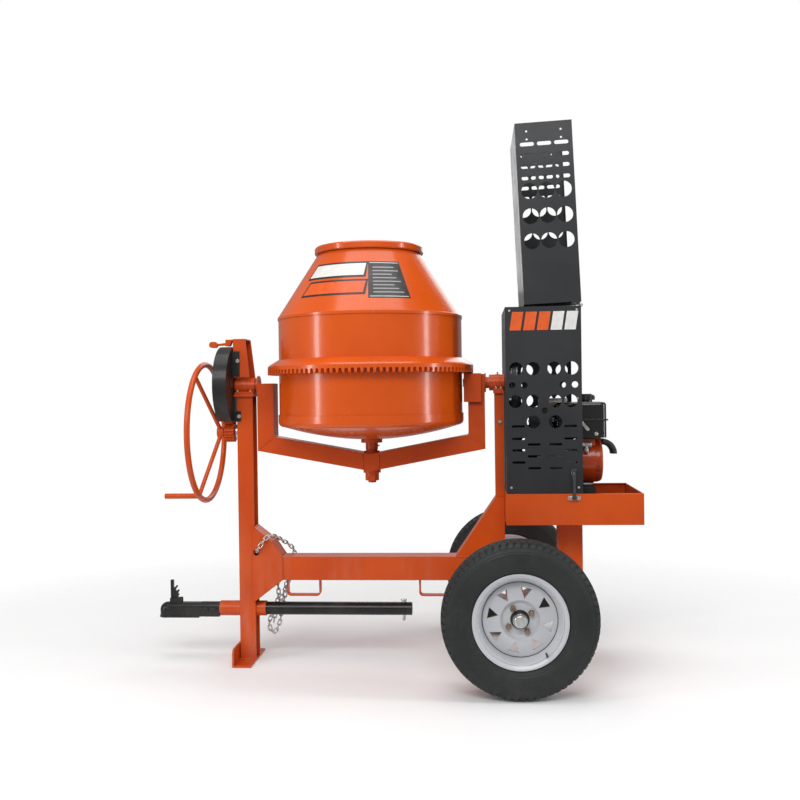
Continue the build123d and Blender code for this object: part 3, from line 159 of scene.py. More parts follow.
def painted(name, light, dark, rough=(0.28, 0.42), coat=0.25, worn=(0.10, 0.085, 0.075), wear=0.5,
            dust=0.35, bevel=0.0022, peel=0.10, sheen=0.28):
    """Gloss or satin paint: cloudy colour, orange peel, chipped edges and dust near the ground."""
    g = Graph(name)
    cloud = g.ramp(g.noise(3.2, 5.0), 0.35, 0.68)
    base = g.mix(cloud, light, dark)
    edge, soft = g.edges(bevel)
    chips = g.ramp(g.noise(70.0, 6.0, 0.7), 0.52, 0.60)
    chipped = g.math("MULTIPLY", g.math("MULTIPLY", edge, chips), wear)
    base = g.mix(chipped, base, worn)
    streaks = g.ramp(g.noise(5.0, 6.0, 0.65, (2.2, 2.2, 0.5)), 0.48, 0.80)
    low = g.ramp(g.height(), 0.75, 0.0)
    dusty = g.math("MULTIPLY", g.math("MULTIPLY", low, streaks), dust)
    base = g.mix(dusty, base, DUST)
    roughness = g.ramp(g.noise(9.0, 5.0, 0.6), 0.3, 0.75, rough[0], rough[1])
    roughness = g.math("ADD", roughness, g.math("MULTIPLY", dusty, 0.35))
    normal = g.bump(g.noise(260.0, 2.0), peel, 0.0008, soft)
    g.bsdf.inputs["Coat Weight"].default_value = coat
    g.bsdf.inputs["Coat Roughness"].default_value = 0.12
    g.bsdf.inputs["Specular IOR Level"].default_value = sheen
    return g.finish(base, roughness, normal)


def metal(name, light, dark, rough=(0.25, 0.5), grain=(1.0, 1.0, 1.0), scale=60.0, bevel=0.0012,
          stain=None, stained=0.3):
    """Bare or plated metal with grain, smudges and softened edges."""
    g = Graph(name)
    grainy = g.noise(scale, 6.0, 0.65, grain)
    base = g.mix(g.ramp(grainy, 0.35, 0.7), light, dark)
    if stain:
        patches = g.ramp(g.noise(14.0, 6.0, 0.7), 0.52, 0.70, 0.0, stained)
        base = g.mix(patches, base, stain)
    _, soft = g.edges(bevel)
    normal = g.bump(grainy, 0.12, 0.0006, soft)
    g.bsdf.inputs["Metallic"].default_value = 1.0
    return g.finish(base, g.ramp(g.noise(22.0, 5.0), 0.3, 0.75, rough[0], rough[1]), normal)


def moulded(name, light, dark, rough=(0.45, 0.7), scale=420.0, strength=0.25, bevel=0.0015, dust=0.25):
    """Moulded plastic or rubber: fine texture, dull sheen and a little dust."""
    g = Graph(name)
    base = g.mix(g.ramp(g.noise(7.0, 5.0), 0.35, 0.7), light, dark)
    powder = g.ramp(g.noise(18.0, 7.0, 0.7), 0.55, 0.80, 0.0, dust)
    base = g.mix(powder, base, (0.20, 0.185, 0.165))
    _, soft = g.edges(bevel)
    normal = g.bump(g.noise(scale, 3.0), strength, 0.0006, soft)
    return g.finish(base, g.ramp(g.noise(26.0, 5.0), 0.3, 0.75, rough[0], rough[1]), normal)


def tyre_rubber():
    """Tyre rubber with a grey bloom on the sidewall."""
    g = Graph("tyre_rubber")
    base = g.mix(g.ramp(g.noise(5.0, 6.0), 0.35, 0.7), (0.012, 0.014, 0.014), (0.020, 0.023, 0.023))
    bloom = g.ramp(g.noise(11.0, 7.0, 0.7), 0.50, 0.78, 0.0, 0.35)
    base = g.mix(bloom, base, (0.045, 0.049, 0.048))
    g.bsdf.inputs["Specular IOR Level"].default_value = 0.35
    low = g.ramp(g.height(), 0.10, 0.0, 0.0, 0.22)
    mud = g.math("MULTIPLY", low, g.ramp(g.noise(30.0, 6.0, 0.7), 0.45, 0.7))
    base = g.mix(mud, base, (0.17, 0.145, 0.115))
    fine = g.noise(350.0, 3.0)
    normal = g.bump(fine, 0.2, 0.0006)
    return g.finish(base, g.ramp(g.noise(20.0, 5.0), 0.3, 0.75, 0.5, 0.75), normal)


def print_ink(name, light, dark):
    """Printed film: slight mottling, faint scuffs and a soft gloss."""
    g = Graph(name)
    base = g.mix(g.ramp(g.noise(45.0, 6.0), 0.35, 0.7), light, dark)
    scuff = g.ramp(g.noise(22.0, 7.0, 0.75, (0.4, 1.0, 2.5)), 0.60, 0.78, 0.0, 0.25)
    base = g.mix(scuff, base, (0.45, 0.33, 0.25))
    return g.finish(base, g.ramp(g.noise(30.0, 4.0), 0.3, 0.7, 0.28, 0.42),
                    g.bump(g.noise(300.0, 2.0), 0.06, 0.0005))


MATS = {
    "frame_paint": painted("frame_paint", ORANGE, ORANGE_DARK, coat=0.06),
    "drum_paint": painted("drum_paint", DRUM_ORANGE, DRUM_DARK, rough=(0.20, 0.31), coat=0.35, wear=0.35,
                          dust=0.0, peel=0.06),
    "drum_steel": metal("drum_steel", (0.36, 0.33, 0.29), (0.17, 0.15, 0.13), (0.5, 0.8),
                        stain=(0.22, 0.20, 0.18), stained=0.8),
    "hub_paint": painted("hub_paint", ORANGE, ORANGE_DARK, rough=(0.35, 0.55), coat=0.1, peel=0.3),
    "shaft_steel": metal("shaft_steel", (0.62, 0.62, 0.63), (0.42, 0.42, 0.43), (0.2, 0.4),
                         (14.0, 1.0, 1.0)),
    "pinion_steel": metal("pinion_steel", (0.20, 0.15, 0.11), (0.07, 0.055, 0.045), (0.35, 0.6),
                          stain=(0.25, 0.07, 0.02), stained=0.6),
    "case_black": painted("case_black", (0.014, 0.014, 0.015), (0.022, 0.022, 0.023), rough=(0.30, 0.48),
                          coat=0.15, worn=(0.25, 0.24, 0.23), wear=0.5, dust=0.1, peel=0.2),
    "cabinet_charcoal": painted("cabinet_charcoal", (0.018, 0.019, 0.021), (0.027, 0.028, 0.031),
                                rough=(0.38, 0.55), coat=0.1, worn=(0.22, 0.21, 0.20), wear=0.45, dust=0.0,
                                bevel=0.0012, peel=0.25),
    "hinge_zinc": metal("hinge_zinc", (0.66, 0.66, 0.64), (0.45, 0.45, 0.44), (0.28, 0.5),
                        stain=(0.40, 0.34, 0.25), stained=0.35),
    "pulley_iron": metal("pulley_iron", (0.16, 0.16, 0.165), (0.08, 0.08, 0.082), (0.35, 0.6),
                         stain=(0.20, 0.11, 0.06), stained=0.35),
    "belt_rubber": moulded("belt_rubber", (0.016, 0.016, 0.016), (0.028, 0.028, 0.027), (0.5, 0.75)),
    "engine_metal": metal("engine_metal", (0.36, 0.36, 0.37), (0.20, 0.20, 0.205), (0.4, 0.65), scale=220.0,
                          stain=(0.12, 0.10, 0.08), stained=0.5),
    "stand_black": painted("stand_black", (0.014, 0.014, 0.015), (0.024, 0.024, 0.024), rough=(0.4, 0.6),
                           coat=0.0, dust=0.2),
    "tank_black": painted("tank_black", (0.009, 0.009, 0.010), (0.014, 0.014, 0.015), rough=(0.12, 0.22),
                          coat=0.5, worn=(0.2, 0.2, 0.2), wear=0.2, dust=0.0, peel=0.04),
    "engine_plastic": moulded("engine_plastic", (0.012, 0.012, 0.013), (0.022, 0.022, 0.023)),
    "recoil_orange": painted("recoil_orange", (0.46, 0.060, 0.008), (0.34, 0.038, 0.005), rough=(0.2, 0.32),
                             coat=0.4, wear=0.3, dust=0.0, peel=0.08),
    "muffler_steel": metal("muffler_steel", (0.42, 0.39, 0.36), (0.22, 0.19, 0.17), (0.4, 0.7),
                           stain=(0.20, 0.11, 0.06), stained=0.6),
    "tow_black": painted("tow_black", (0.008, 0.008, 0.009), (0.014, 0.014, 0.014), rough=(0.22, 0.38),
                         coat=0.1, worn=(0.3, 0.3, 0.3), wear=0.5, dust=0.10, peel=0.06),
    "zinc": metal("zinc", (0.70, 0.70, 0.68), (0.46, 0.46, 0.45), (0.25, 0.5), stain=(0.36, 0.30, 0.22),
                  stained=0.4),
    "tyre": tyre_rubber(),
    "rim_white": painted("rim_white", (0.52, 0.53, 0.56), (0.45, 0.46, 0.49), rough=(0.22, 0.38), coat=0.35,
                         worn=(0.25, 0.22, 0.19), wear=0.4, dust=0.25, peel=0.08),
    "hub_steel": metal("hub_steel", (0.66, 0.66, 0.65), (0.45, 0.45, 0.44), (0.2, 0.42),
                       stain=(0.38, 0.33, 0.27), stained=0.3),
    "ink_white": print_ink("ink_white", (0.72, 0.71, 0.68), (0.62, 0.61, 0.58)),
    "ink_black": print_ink("ink_black", (0.012, 0.012, 0.012), (0.03, 0.03, 0.03)),
    "ink_grey": print_ink("ink_grey", (0.30, 0.30, 0.30), (0.24, 0.24, 0.24)),
    "ink_orange": print_ink("ink_orange", (0.72, 0.10, 0.01), (0.60, 0.08, 0.01)),
    "cast_grey": metal("cast_grey", (0.50, 0.50, 0.51), (0.33, 0.33, 0.335), (0.35, 0.6), scale=260.0),
    "nut_brass": metal("nut_brass", (0.36, 0.27, 0.19), (0.17, 0.10, 0.06), (0.35, 0.6),
                       stain=(0.20, 0.07, 0.025), stained=0.7),
}


def dress(obj, material):
    """Give every slot of an object one material."""
    if not obj.data.materials:
        obj.data.materials.append(MATS[material])
        return
    for index in range(len(obj.data.materials)):
        obj.data.materials[index] = MATS[material]


for part in frame["record"]["subparts"]:
    dress(NODES[part["node"]], part["material_slot"])


# ================================================================ mesh helpers
def piece(name, mesh_maker, material, body):
    """Build a mesh with a bmesh function, dress it and let it ride on a body."""
    mesh = bpy.data.meshes.new(name)
    bm = bmesh.new()
    mesh_maker(bm)
    bmesh.ops.recalc_face_normals(bm, faces=bm.faces)
    bm.to_mesh(mesh)
    bm.free()
    obj = bpy.data.objects.new(name, mesh)
    SCENE.collection.objects.link(obj)
    dress(obj, material)
    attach(obj, body)
    return obj


def smooth(obj, angle=35.0):
    """Shade smooth except across sharp edges."""
    limit = math.radians(angle)
    bm = bmesh.new()
    bm.from_mesh(obj.data)
    for face in bm.faces:
        face.smooth = True
    for edge in bm.edges:
        if len(edge.link_faces) == 2 and edge.calc_face_angle(0.0) > limit:
            edge.smooth = False
    bm.to_mesh(obj.data)
    bm.free()


def skin_tube(bm, rings):
    """Join rings of vertices into a tube closed at both ends."""
    for low, high in zip(rings, rings[1:]):
        for k in range(len(low)):
            j = (k + 1) % len(low)
            bm.faces.new((low[k], low[j], high[j], high[k]))
    bm.faces.new(rings[0])
    bm.faces.new(list(reversed(rings[-1])))


def skin_turn(bm, sections):
    """Join closed sections, each one step of a full turn, into a ring-shaped solid."""
    count = len(sections[0])
    for index, section in enumerate(sections):
        following = sections[(index + 1) % len(sections)]
        for j in range(count):
            k = (j + 1) % count
            bm.faces.new((section[j], section[k], following[k], following[j]))


def prism(bm, outline, shift):
    """A flat outline of points thickened by a shift."""
    back = [bm.verts.new(Vector(p)) for p in outline]
    front = [bm.verts.new(Vector(p) + Vector(shift)) for p in outline]
    skin_tube(bm, [back, front])


def lathe(bm, profile, centre, axis, steps=48):
    """Turn a closed outline of (along, radius) points about an axis through centre."""
    axis = Vector(axis).normalized()
    side = axis.orthogonal().normalized()
    other = axis.cross(side)
    rings = []
    for step in range(steps):
        turn = 2 * math.pi * step / steps
        out = side * math.cos(turn) + other * math.sin(turn)
        rings.append([bm.verts.new(Vector(centre) + axis * a + out * r) for a, r in profile])
    skin_turn(bm, rings)


def bolt(bm, centre, axis, across=0.013, height=0.007, washer=True):
    """A hex head with a domed top and a washer, lying along axis."""
    axis = Vector(axis).normalized()
    side = axis.orthogonal().normalized()
    other = axis.cross(side)
    centre = Vector(centre)
    base = 0.0
    if washer:
        rad = across * 0.82
        lathe(bm, [(0.0, 0.001), (0.0, rad), (0.0014, rad), (0.0016, rad * 0.97), (0.0016, 0.001)],
              centre, axis, 24)
        base = 0.0015
    corner = across / math.sqrt(3)
    loops = []
    for along, scale in ((base, 1.0), (base + height * 0.82, 1.0), (base + height, 0.84)):
        loops.append([bm.verts.new(centre + axis * along + (side * math.cos(i * math.pi / 3) +
                      other * math.sin(i * math.pi / 3)) * corner * scale) for i in range(6)])
    skin_tube(bm, loops)


def weld_bead(bm, start, end, radius):
    """A row of overlapping rounded ripples between two points, like a fillet weld."""
    start, end = Vector(start), Vector(end)
    along = (end - start).normalized()
    length = (end - start).length
    count = max(4, int(length / 0.0016))
    side = along.orthogonal().normalized()
    other = along.cross(side)
    ring_size = 10
    rings = []
    for i in range(count + 1):
        place = start + along * (length * i / count)
        ripple = 0.86 + 0.14 * abs(math.sin(i * 0.95))
        wander = noise.noise(place * 60.0) * 0.12 + 1.0
        taper = min(1.0, 0.35 + min(i, count - i) * 0.25)
        size = radius * ripple * wander * taper
        rings.append([bm.verts.new(place + (side * math.cos(2 * math.pi * k / ring_size) +
                      other * math.sin(2 * math.pi * k / ring_size)) * size) for k in range(ring_size)])
    skin_tube(bm, rings)


# ================================================================ tyres
AXLE_X, WHEEL_Y, AXLE_Z = JOINT_AT["right_wheel_roll"]
# (out from the middle plane, radius) down one side of the tyre, from the tread to the bead
TYRE_HALF = [(0.0, 0.3030), (0.016, 0.3029), (0.030, 0.3024), (0.046, 0.3005), (0.057, 0.2985),
             (0.063, 0.2968), (0.070, 0.2915), (0.076, 0.2838), (0.0805, 0.273), (0.0838, 0.262),
             (0.0852, 0.250), (0.0858, 0.238), (0.0858, 0.228), (0.0842, 0.216), (0.0800, 0.205),
             (0.0758, 0.1965), (0.0728, 0.1902), (0.0690, 0.1868), (0.0656, 0.1845), (0.0652, 0.174),
             (0.0600, 0.1665)]
RIBS = 66                    # pitches of the tread pattern round the tyre
TREAD_R = 0.2825             # the tread pattern lies outside this radius
RIM_EDGE_R = 0.192           # the sidewall's relief ends here
GROOVES = (-0.034, -0.0115, 0.0115, 0.034)
GROOVE_HALF, GROOVE_WALL, GROOVE_DEPTH, ZIGZAG = 0.0042, 0.0014, 0.0075, 0.0042
SHOULDER_IN, SHOULDER_OUT = 0.042, 0.0775
SLOT_DEPTH, SLOT_LEAN = 0.0058, 9.0
# (radius, half width) of the raised rings on the sidewall
SIDE_RINGS = ((0.2705, 0.0015), (0.2620, 0.0009), (0.2075, 0.0011), (0.1985, 0.0009))
SIDE_DROP, SIDE_RIB = 0.0010, 0.0006


def smooth_half(points, per_span):
    """Resample a half profile with a Catmull-Rom curve."""
    out = []
    for i in range(len(points) - 1):
        p0 = Vector(points[max(i - 1, 0)])
        p1, p2 = Vector(points[i]), Vector(points[i + 1])
        p3 = Vector(points[min(i + 2, len(points) - 1)])
        for k in range(per_span):
            t = k / per_span
            out.append(0.5 * ((2 * p1) + (p2 - p0) * t + (2 * p0 - 5 * p1 + 4 * p2 - p3) * t * t +
                              (3 * p1 - p0 - 3 * p2 + p3) * t * t * t))
    out.append(Vector(points[-1]))
    return out


def clamp(value):
    return max(0.0, min(1.0, value))


def tread_depth(y, turn):
    """How far the tread is cut below the tyre's envelope at one point, in metres."""
    phase = turn * RIBS / (2 * math.pi)
    zig = (abs((phase % 1.0) - 0.5) * 4 - 1) * ZIGZAG
    depth = 0.0
    for centre in GROOVES:
        away = abs(y - centre - zig * math.copysign(1.0, centre))
        depth = max(depth, GROOVE_DEPTH * clamp((GROOVE_HALF - away) / GROOVE_WALL + 0.5))
    if SHOULDER_IN < abs(y) < SHOULDER_OUT:
        lean = (abs(y) - SHOULDER_IN) * SLOT_LEAN * math.copysign(1.0, y)
        slot = abs(((phase + lean + (0.5 if y > 0 else 0.0)) % 1.0) - 0.5)
        reach = min(1.0, (abs(y) - SHOULDER_IN) / 0.004) * min(1.0, (SHOULDER_OUT - abs(y)) / 0.003)
        depth = max(depth, SLOT_DEPTH * reach * clamp((slot - 0.355) / 0.04))
    return depth


def sidewall_relief(radius, turn):
    """Raised rings and fine ribs on the sidewall, as a drop below the envelope."""
    for centre, half_width in SIDE_RINGS:
        if abs(radius - centre) < half_width:
            return 0.0
    if 0.272 < radius < 0.282:
        return SIDE_DROP + SIDE_RIB * (0.5 + 0.5 * math.sin(turn * 240))
    return SIDE_DROP


def tyre_mesh(bm, y0):
    """A hollow tyre with tread and sidewall relief, its middle plane at y0."""
    half = smooth_half(TYRE_HALF, 4)
    outer = [(-p.x, p.y) for p in reversed(half)] + [(p.x, p.y) for p in half[1:]]
    liner = [(0.050, 0.1665), (0.056, 0.188), (0.0, 0.192), (-0.056, 0.188), (-0.050, 0.1665)]
    steps = RIBS * 10
    rings = []
    for step in range(steps):
        turn = 2 * math.pi * step / steps
        ring = []
        for y, r in outer:
            if r > TREAD_R:
                r2, y2 = r - tread_depth(y, turn), y
            else:
                drop = sidewall_relief(r, turn) if RIM_EDGE_R < r < TREAD_R else 0.0
                r2, y2 = r, y - math.copysign(drop, y)
            ring.append((y2, r2))
        ring += liner
        rings.append([bm.verts.new((AXLE_X + r * math.cos(turn), y0 + y, AXLE_Z + r * math.sin(turn)))
                      for y, r in ring])
    skin_turn(bm, rings)


for name, y0 in (("left", -WHEEL_Y), ("right", WHEEL_Y)):
    tyre = piece(f"tyre_tread_{name}", lambda bm: tyre_mesh(bm, y0), "tyre", f"wheel_{name}")
    smooth(tyre, 28.0)
    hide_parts(f"tyre_{name}")


# ================================================================ label films
CONE_LOW, CONE_HIGH = (1.506, 0.400), (1.778, 0.225)     # (height, outer radius) of the cone's ends
DRUM_X = JOINT_AT["drum_spin"][0]
PLATE_LIFT, PRINT_LIFT = 0.0004, 0.0009      # how far the label's two layers stand off the cone
INK = 0.00035                                # thickness of each layer
PANEL_LEAN = 2.0                             # degrees that the two left panels lean over their height


def cone_patch(bm, a0, a1, z0, z1, lift, lean=0.0):
    """A thin film on the drum's cone between two angles (degrees from the near side) and heights."""
    across, tall = 28, 6
    slope = (CONE_HIGH[1] - CONE_LOW[1]) / (CONE_HIGH[0] - CONE_LOW[0])
    outward = Vector((1.0, -slope)).normalized()
    rows = []
    for layer in (lift, lift + INK):
        grid = []
        for i in range(across + 1):
            column = []
            for j in range(tall + 1):
                z = z0 + (z1 - z0) * j / tall
                turn = math.radians(a0 + (a1 - a0) * i / across + lean * j / tall)
                r = CONE_LOW[1] + slope * (z - CONE_LOW[0]) + outward.x * layer
                column.append(bm.verts.new((DRUM_X + r * math.sin(turn), -r * math.cos(turn),
                                            z + outward.y * layer)))
            grid.append(column)
        rows.append(grid)
    under, over = rows
    for i in range(across):
        for j in range(tall):
            bm.faces.new((over[i][j], over[i + 1][j], over[i + 1][j + 1], over[i][j + 1]))
            bm.faces.new((under[i][j + 1], under[i + 1][j + 1], under[i + 1][j], under[i][j]))
    rim = ([(i, 0) for i in range(across)] + [(across, j) for j in range(tall)] +
           [(i, tall) for i in range(across, 0, -1)] + [(0, j) for j in range(tall, 0, -1)])
    for (i, j), (k, m) in zip(rim, rim[1:] + rim[:1]):
        bm.faces.new((under[i][j], under[k][m], over[k][m], over[i][j]))


def drum_film(name, material, patches):
    """One colour of the drum's label."""
    def make(bm):
        for args in patches:
            cone_patch(bm, *args)
    smooth(piece(name, make, material, "drum"), 50.0)


LINES, LINE_Z, LINE_PITCH, LINE_TALL = 8, 1.578, 0.0155, 0.005
drum_film("drum_label_black", "ink_black", [(5.0, 33.0, 1.556, 1.716, PLATE_LIFT),
                                            (-50.0, 3.0, 1.648, 1.716, PLATE_LIFT, PANEL_LEAN),
                                            (-47.0, 3.0, 1.572, 1.638, PLATE_LIFT, PANEL_LEAN)])
drum_film("drum_label_white", "ink_white",
          [(6.2, 31.8, 1.708, 1.7105, PRINT_LIFT), (6.2, 31.8, 1.5615, 1.564, PRINT_LIFT),
           (-48.4, 1.4, 1.656, 1.708, PRINT_LIFT, PANEL_LEAN)])
drum_film("drum_label_grey", "ink_grey",
          [(8.5, 29.5 - 3.0 * (n % 3), LINE_Z + LINE_PITCH * n, LINE_Z + LINE_TALL + LINE_PITCH * n,
            PRINT_LIFT) for n in range(LINES)])
drum_film("drum_label_orange", "ink_orange", [(-45.4, 1.4, 1.580, 1.630, PRINT_LIFT, PANEL_LEAN)])


CABINET_FACE_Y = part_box("drive_cabinet")[0].y - 0.0001
ORANGE_BARS, WHITE_BARS, BAR_START = 3, 2, 0.512
BAR_PITCH, BAR_WIDTH, BAR_LEAN = 0.056, 0.046, 0.012
BAR_LOW, BAR_HIGH = 1.424, 1.500
FILM = 0.0004


def cabinet_bars(bm, count, start):
    """Thin leaning bars stuck on the cabinet's near face."""
    for i in range(count):
        x0 = start + i * BAR_PITCH
        x1 = x0 + BAR_WIDTH
        outline = [(x0, BAR_LOW), (x1, BAR_LOW), (x1 + BAR_LEAN, BAR_HIGH), (x0 + BAR_LEAN, BAR_HIGH)]
        prism(bm, [(x, CABINET_FACE_Y, z) for x, z in outline], (0, -FILM, 0))


piece("cabinet_stripes_orange", lambda bm: cabinet_bars(bm, ORANGE_BARS, BAR_START),
      "ink_orange", "frame")
piece("cabinet_stripes_white", lambda bm: cabinet_bars(bm, WHITE_BARS, BAR_START + ORANGE_BARS * BAR_PITCH),
      "ink_white", "frame")


# ================================================================ weld beads
def beads(name, body, runs, radius=0.0034):
    """One piece of weld beads, each run a start and an end."""
    def make(bm):
        for start, end in runs:
            weld_bead(bm, start, end, radius)
    smooth(piece(name, make, "frame_paint", body), 60.0)


def mirrored(runs):
    """The same bead runs on the near and the far side."""
    return runs + [((x0, -y0, z0), (x1, -y1, z1)) for (x0, y0, z0), (x1, y1, z1) in runs]


beads("beam_welds", "frame", mirrored([
    ((-0.4835, -0.0520, 0.462), (-0.4805, -0.0520, 0.361)),
    ((-0.612, -0.0405, 0.5915), (-0.612, -0.0405, 0.470)),
    ((0.449, -0.0415, 0.4625), (0.488, -0.0415, 0.4625)),
    ((0.280, -0.0510, 0.4625), (0.445, -0.0510, 0.4625)),
    ((0.478, -0.0515, 0.3605), (0.574, -0.0515, 0.3605)),
    ((0.478, -0.0515, 0.3355), (0.574, -0.0515, 0.3355)),
    ((0.7175, -0.0510, 0.3650), (0.7175, -0.0510, 0.4600)),
    ((0.7200, -0.0515, 0.6215), (0.8160, -0.0515, 0.6215)),
    ((-0.686, -0.0405, 0.0095), (-0.610, -0.0405, 0.0095)),
    ((-0.686, -0.0405, 1.1660), (-0.610, -0.0405, 1.1660)),
    ((0.452, -0.0405, 1.1660), (0.488, -0.0405, 1.1660)),
    ((-0.468, -0.0165, 0.3600), (-0.466, 0.0165, 0.3600)),
    ((0.117, -0.0165, 0.3600), (0.119, 0.0165, 0.3600)),
]))
beads("beam_cross_welds", "frame", [
    ((0.7170, -0.049, 0.4625), (0.7170, 0.049, 0.4625)),
    ((-0.6065, -0.0400, 0.5920), (-0.6065, 0.0400, 0.5920)),
    ((0.448, -0.0400, 0.4630), (0.448, 0.0400, 0.4630)),
])
beads("yoke_welds", "yoke", [
    ((x, -0.0485, z), (x, 0.0485, z)) for x, z in ((-0.5118, 0.9885), (0.3378, 0.9885))
] + mirrored([
    ((-0.5800, -0.0502, 0.9360), (-0.5130, -0.0502, 0.9860)),
    ((0.4060, -0.0502, 0.9360), (0.3390, -0.0502, 0.9860)),
    ((DRUM_X - 0.0350, -0.0502, 0.8420), (DRUM_X - 0.0350, -0.0502, 0.9080)),
    ((DRUM_X + 0.0350, -0.0502, 0.8420), (DRUM_X + 0.0350, -0.0502, 0.9080)),
]), 0.0030)

# ================================================================ wheels' small parts
VALVE_R, VALVE_TURN = 0.158, math.radians(-52)


def outer_point(side, out, radius=0.0, turn=0.0):
    """A point on a wheel, out from its middle plane and round its axle."""
    return (AXLE_X + radius * math.cos(turn), side * (WHEEL_Y + out), AXLE_Z + radius * math.sin(turn))


def valve_stem(bm, side):
    """The valve stem on the rim."""
    profile = [(0.0, 0.0005), (0.0, 0.0052), (0.006, 0.0048), (0.010, 0.0036), (0.026, 0.0032),
               (0.026, 0.0040), (0.034, 0.0040), (0.0345, 0.0034), (0.0345, 0.0005)]
    lathe(bm, profile, outer_point(side, 0.040, VALVE_R, VALVE_TURN), (0, side, 0), 20)


for name, side in (("left", -1), ("right", 1)):
    smooth(piece(f"valve_{name}", lambda bm: valve_stem(bm, side), "engine_plastic", f"wheel_{name}"), 40.0)


STUD_R, STUD_ANGLE = 0.0508, 31.0


def lug_nuts(bm, side):
    """Four conical lug nuts with their stud ends."""
    for index in range(4):
        place = outer_point(side, 0.018, STUD_R, math.radians(STUD_ANGLE + 90 * index))
        bolt(bm, place, (0, side, 0), 0.0216, 0.0164, False)
        stud_end = [(0.0, 0.0005), (0.0, 0.0064), (0.0192, 0.0064), (0.0202, 0.0054), (0.0202, 0.0005)]
        lathe(bm, stud_end, place, (0, side, 0), 18)


def hub_shadow(bm, side):
    """Painted shadow: a black ring round the dust cap, and a thin black ring of painted shade along the seam where
    the disc meets the rim.
    """
    lathe(bm, [(0.0, 0.0283), (0.0, 0.0368), (0.0010, 0.0368), (0.0016, 0.0325), (0.0010, 0.0283)],
          outer_point(side, 0.0122), (0, side, 0), 48)
    lathe(bm, [(0.0, 0.1424), (0.0018, 0.1426), (0.0022, 0.1438), (0.0016, 0.1450), (0.0, 0.1452)],
          outer_point(side, 0.0160), (0, side, 0), 96)


# black rings of painted shadow on each hub, round the dust cap and in the disc-to-rim seam
for name, side in (("left", -1), ("right", 1)):
    smooth(piece(f"lug_nuts_{name}", lambda bm: lug_nuts(bm, side), "nut_brass", f"wheel_{name}"), 30.0)
    smooth(piece(f"hub_painted_shadow_{name}", lambda bm: hub_shadow(bm, side), "ink_black", f"wheel_{name}"), 50.0)


# ================================================================ hood latch
STRAP_X = JOINT_AT["latch_swing"][0]
# height, half width, Y of the middle and half thickness at each station up the strap
STRAP_STATIONS = [(0.7275, 0.0060, -0.2420, 0.0040), (0.7300, 0.0085, -0.2420, 0.0062),
                  (0.7330, 0.0095, -0.2420, 0.0066), (0.7380, 0.0088, -0.2420, 0.0058),
                  (0.7440, 0.0070, -0.2418, 0.0038), (0.7700, 0.0060, -0.2405, 0.0030),
                  (0.8000, 0.0060, -0.2385, 0.0030), (0.8180, 0.0072, -0.2368, 0.0031),
                  (0.8240, 0.0084, -0.2358, 0.0032), (0.8400, 0.0084, -0.2350, 0.0032),
                  (0.8440, 0.0078, -0.2348, 0.0034), (0.8490, 0.0060, -0.2346, 0.0032)]
STRAP_COLUMNS = (-1.0, -0.86, -0.42, 0.42, 0.86, 1.0)
SLOT_CELL = (8, 2)
EDGE_THIN = 0.55             # the strap's thickness at its rounded edges


def strap_mesh(bm):
    """A moulded rubber strap with a slot over the keeper, an eye at its pin and a T grip on top."""
    grid = []
    for z, half, y, thick in STRAP_STATIONS:
        grid.append([[bm.verts.new((STRAP_X + half * f,
                                    y + face * thick * (EDGE_THIN if abs(f) == 1.0 else 1.0), z))
                      for f in STRAP_COLUMNS] for face in (-1, 1)])
    cells = {(j, i) for j in range(len(STRAP_STATIONS) - 1) for i in range(len(STRAP_COLUMNS) - 1)}
    cells.discard(SLOT_CELL)
    for j, i in sorted(cells):
        for layer in (0, 1):
            low, high = grid[j][layer], grid[j + 1][layer]
            bm.faces.new((low[i], low[i + 1], high[i + 1], high[i]))
        for dj, di, ends in ((-1, 0, ((j, i), (j, i + 1))), (1, 0, ((j + 1, i), (j + 1, i + 1))),
                             (0, -1, ((j, i), (j + 1, i))), (0, 1, ((j, i + 1), (j + 1, i + 1)))):
            if (j + dj, i + di) in cells:
                continue
            (a, b), (c, d) = ends
            bm.faces.new((grid[a][0][b], grid[c][0][d], grid[c][1][d], grid[a][1][b]))
    grip = [(0.0, 0.0004), (0.0, 0.0030), (0.0012, 0.0046), (0.0060, 0.0050), (0.0110, 0.0036),
            (0.0160, 0.0050), (0.0208, 0.0046), (0.0220, 0.0030), (0.0220, 0.0004)]
    lathe(bm, grip, (STRAP_X - 0.011, -0.2348, 0.8480), (1, 0, 0), 28)


strap = piece("latch_strap_rubber", strap_mesh, "belt_rubber", "hood_latch")
smooth(strap, 40.0)
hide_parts("latch_strap")


# ================================================================ engine trim
CRANK_Z = JOINT_AT["crank_spin"][2]
RECOIL_R, RECOIL_BOLT_R = 0.0922, 0.0955
CARB_X, CARB_Y, CARB_Z = 0.8115, -0.1130, 0.944      # where the body starts, along +X


def rounded_bar(bm, points, radius, ring=10):
    """A tube through straight runs, closed at both ends."""
    rings = []
    count = len(points)
    for i, point in enumerate(points):
        before = Vector(points[max(i - 1, 0)])
        after = Vector(points[min(i + 1, count - 1)])
        along = (after - before).normalized()
        side = along.cross(Vector((0.13, 0.21, 0.97))).normalized()
        other = along.cross(side)
        rings.append([bm.verts.new(Vector(point) + (side * math.cos(2 * math.pi * k / ring) +
                      other * math.sin(2 * math.pi * k / ring)) * radius) for k in range(ring)])
    skin_tube(bm, rings)


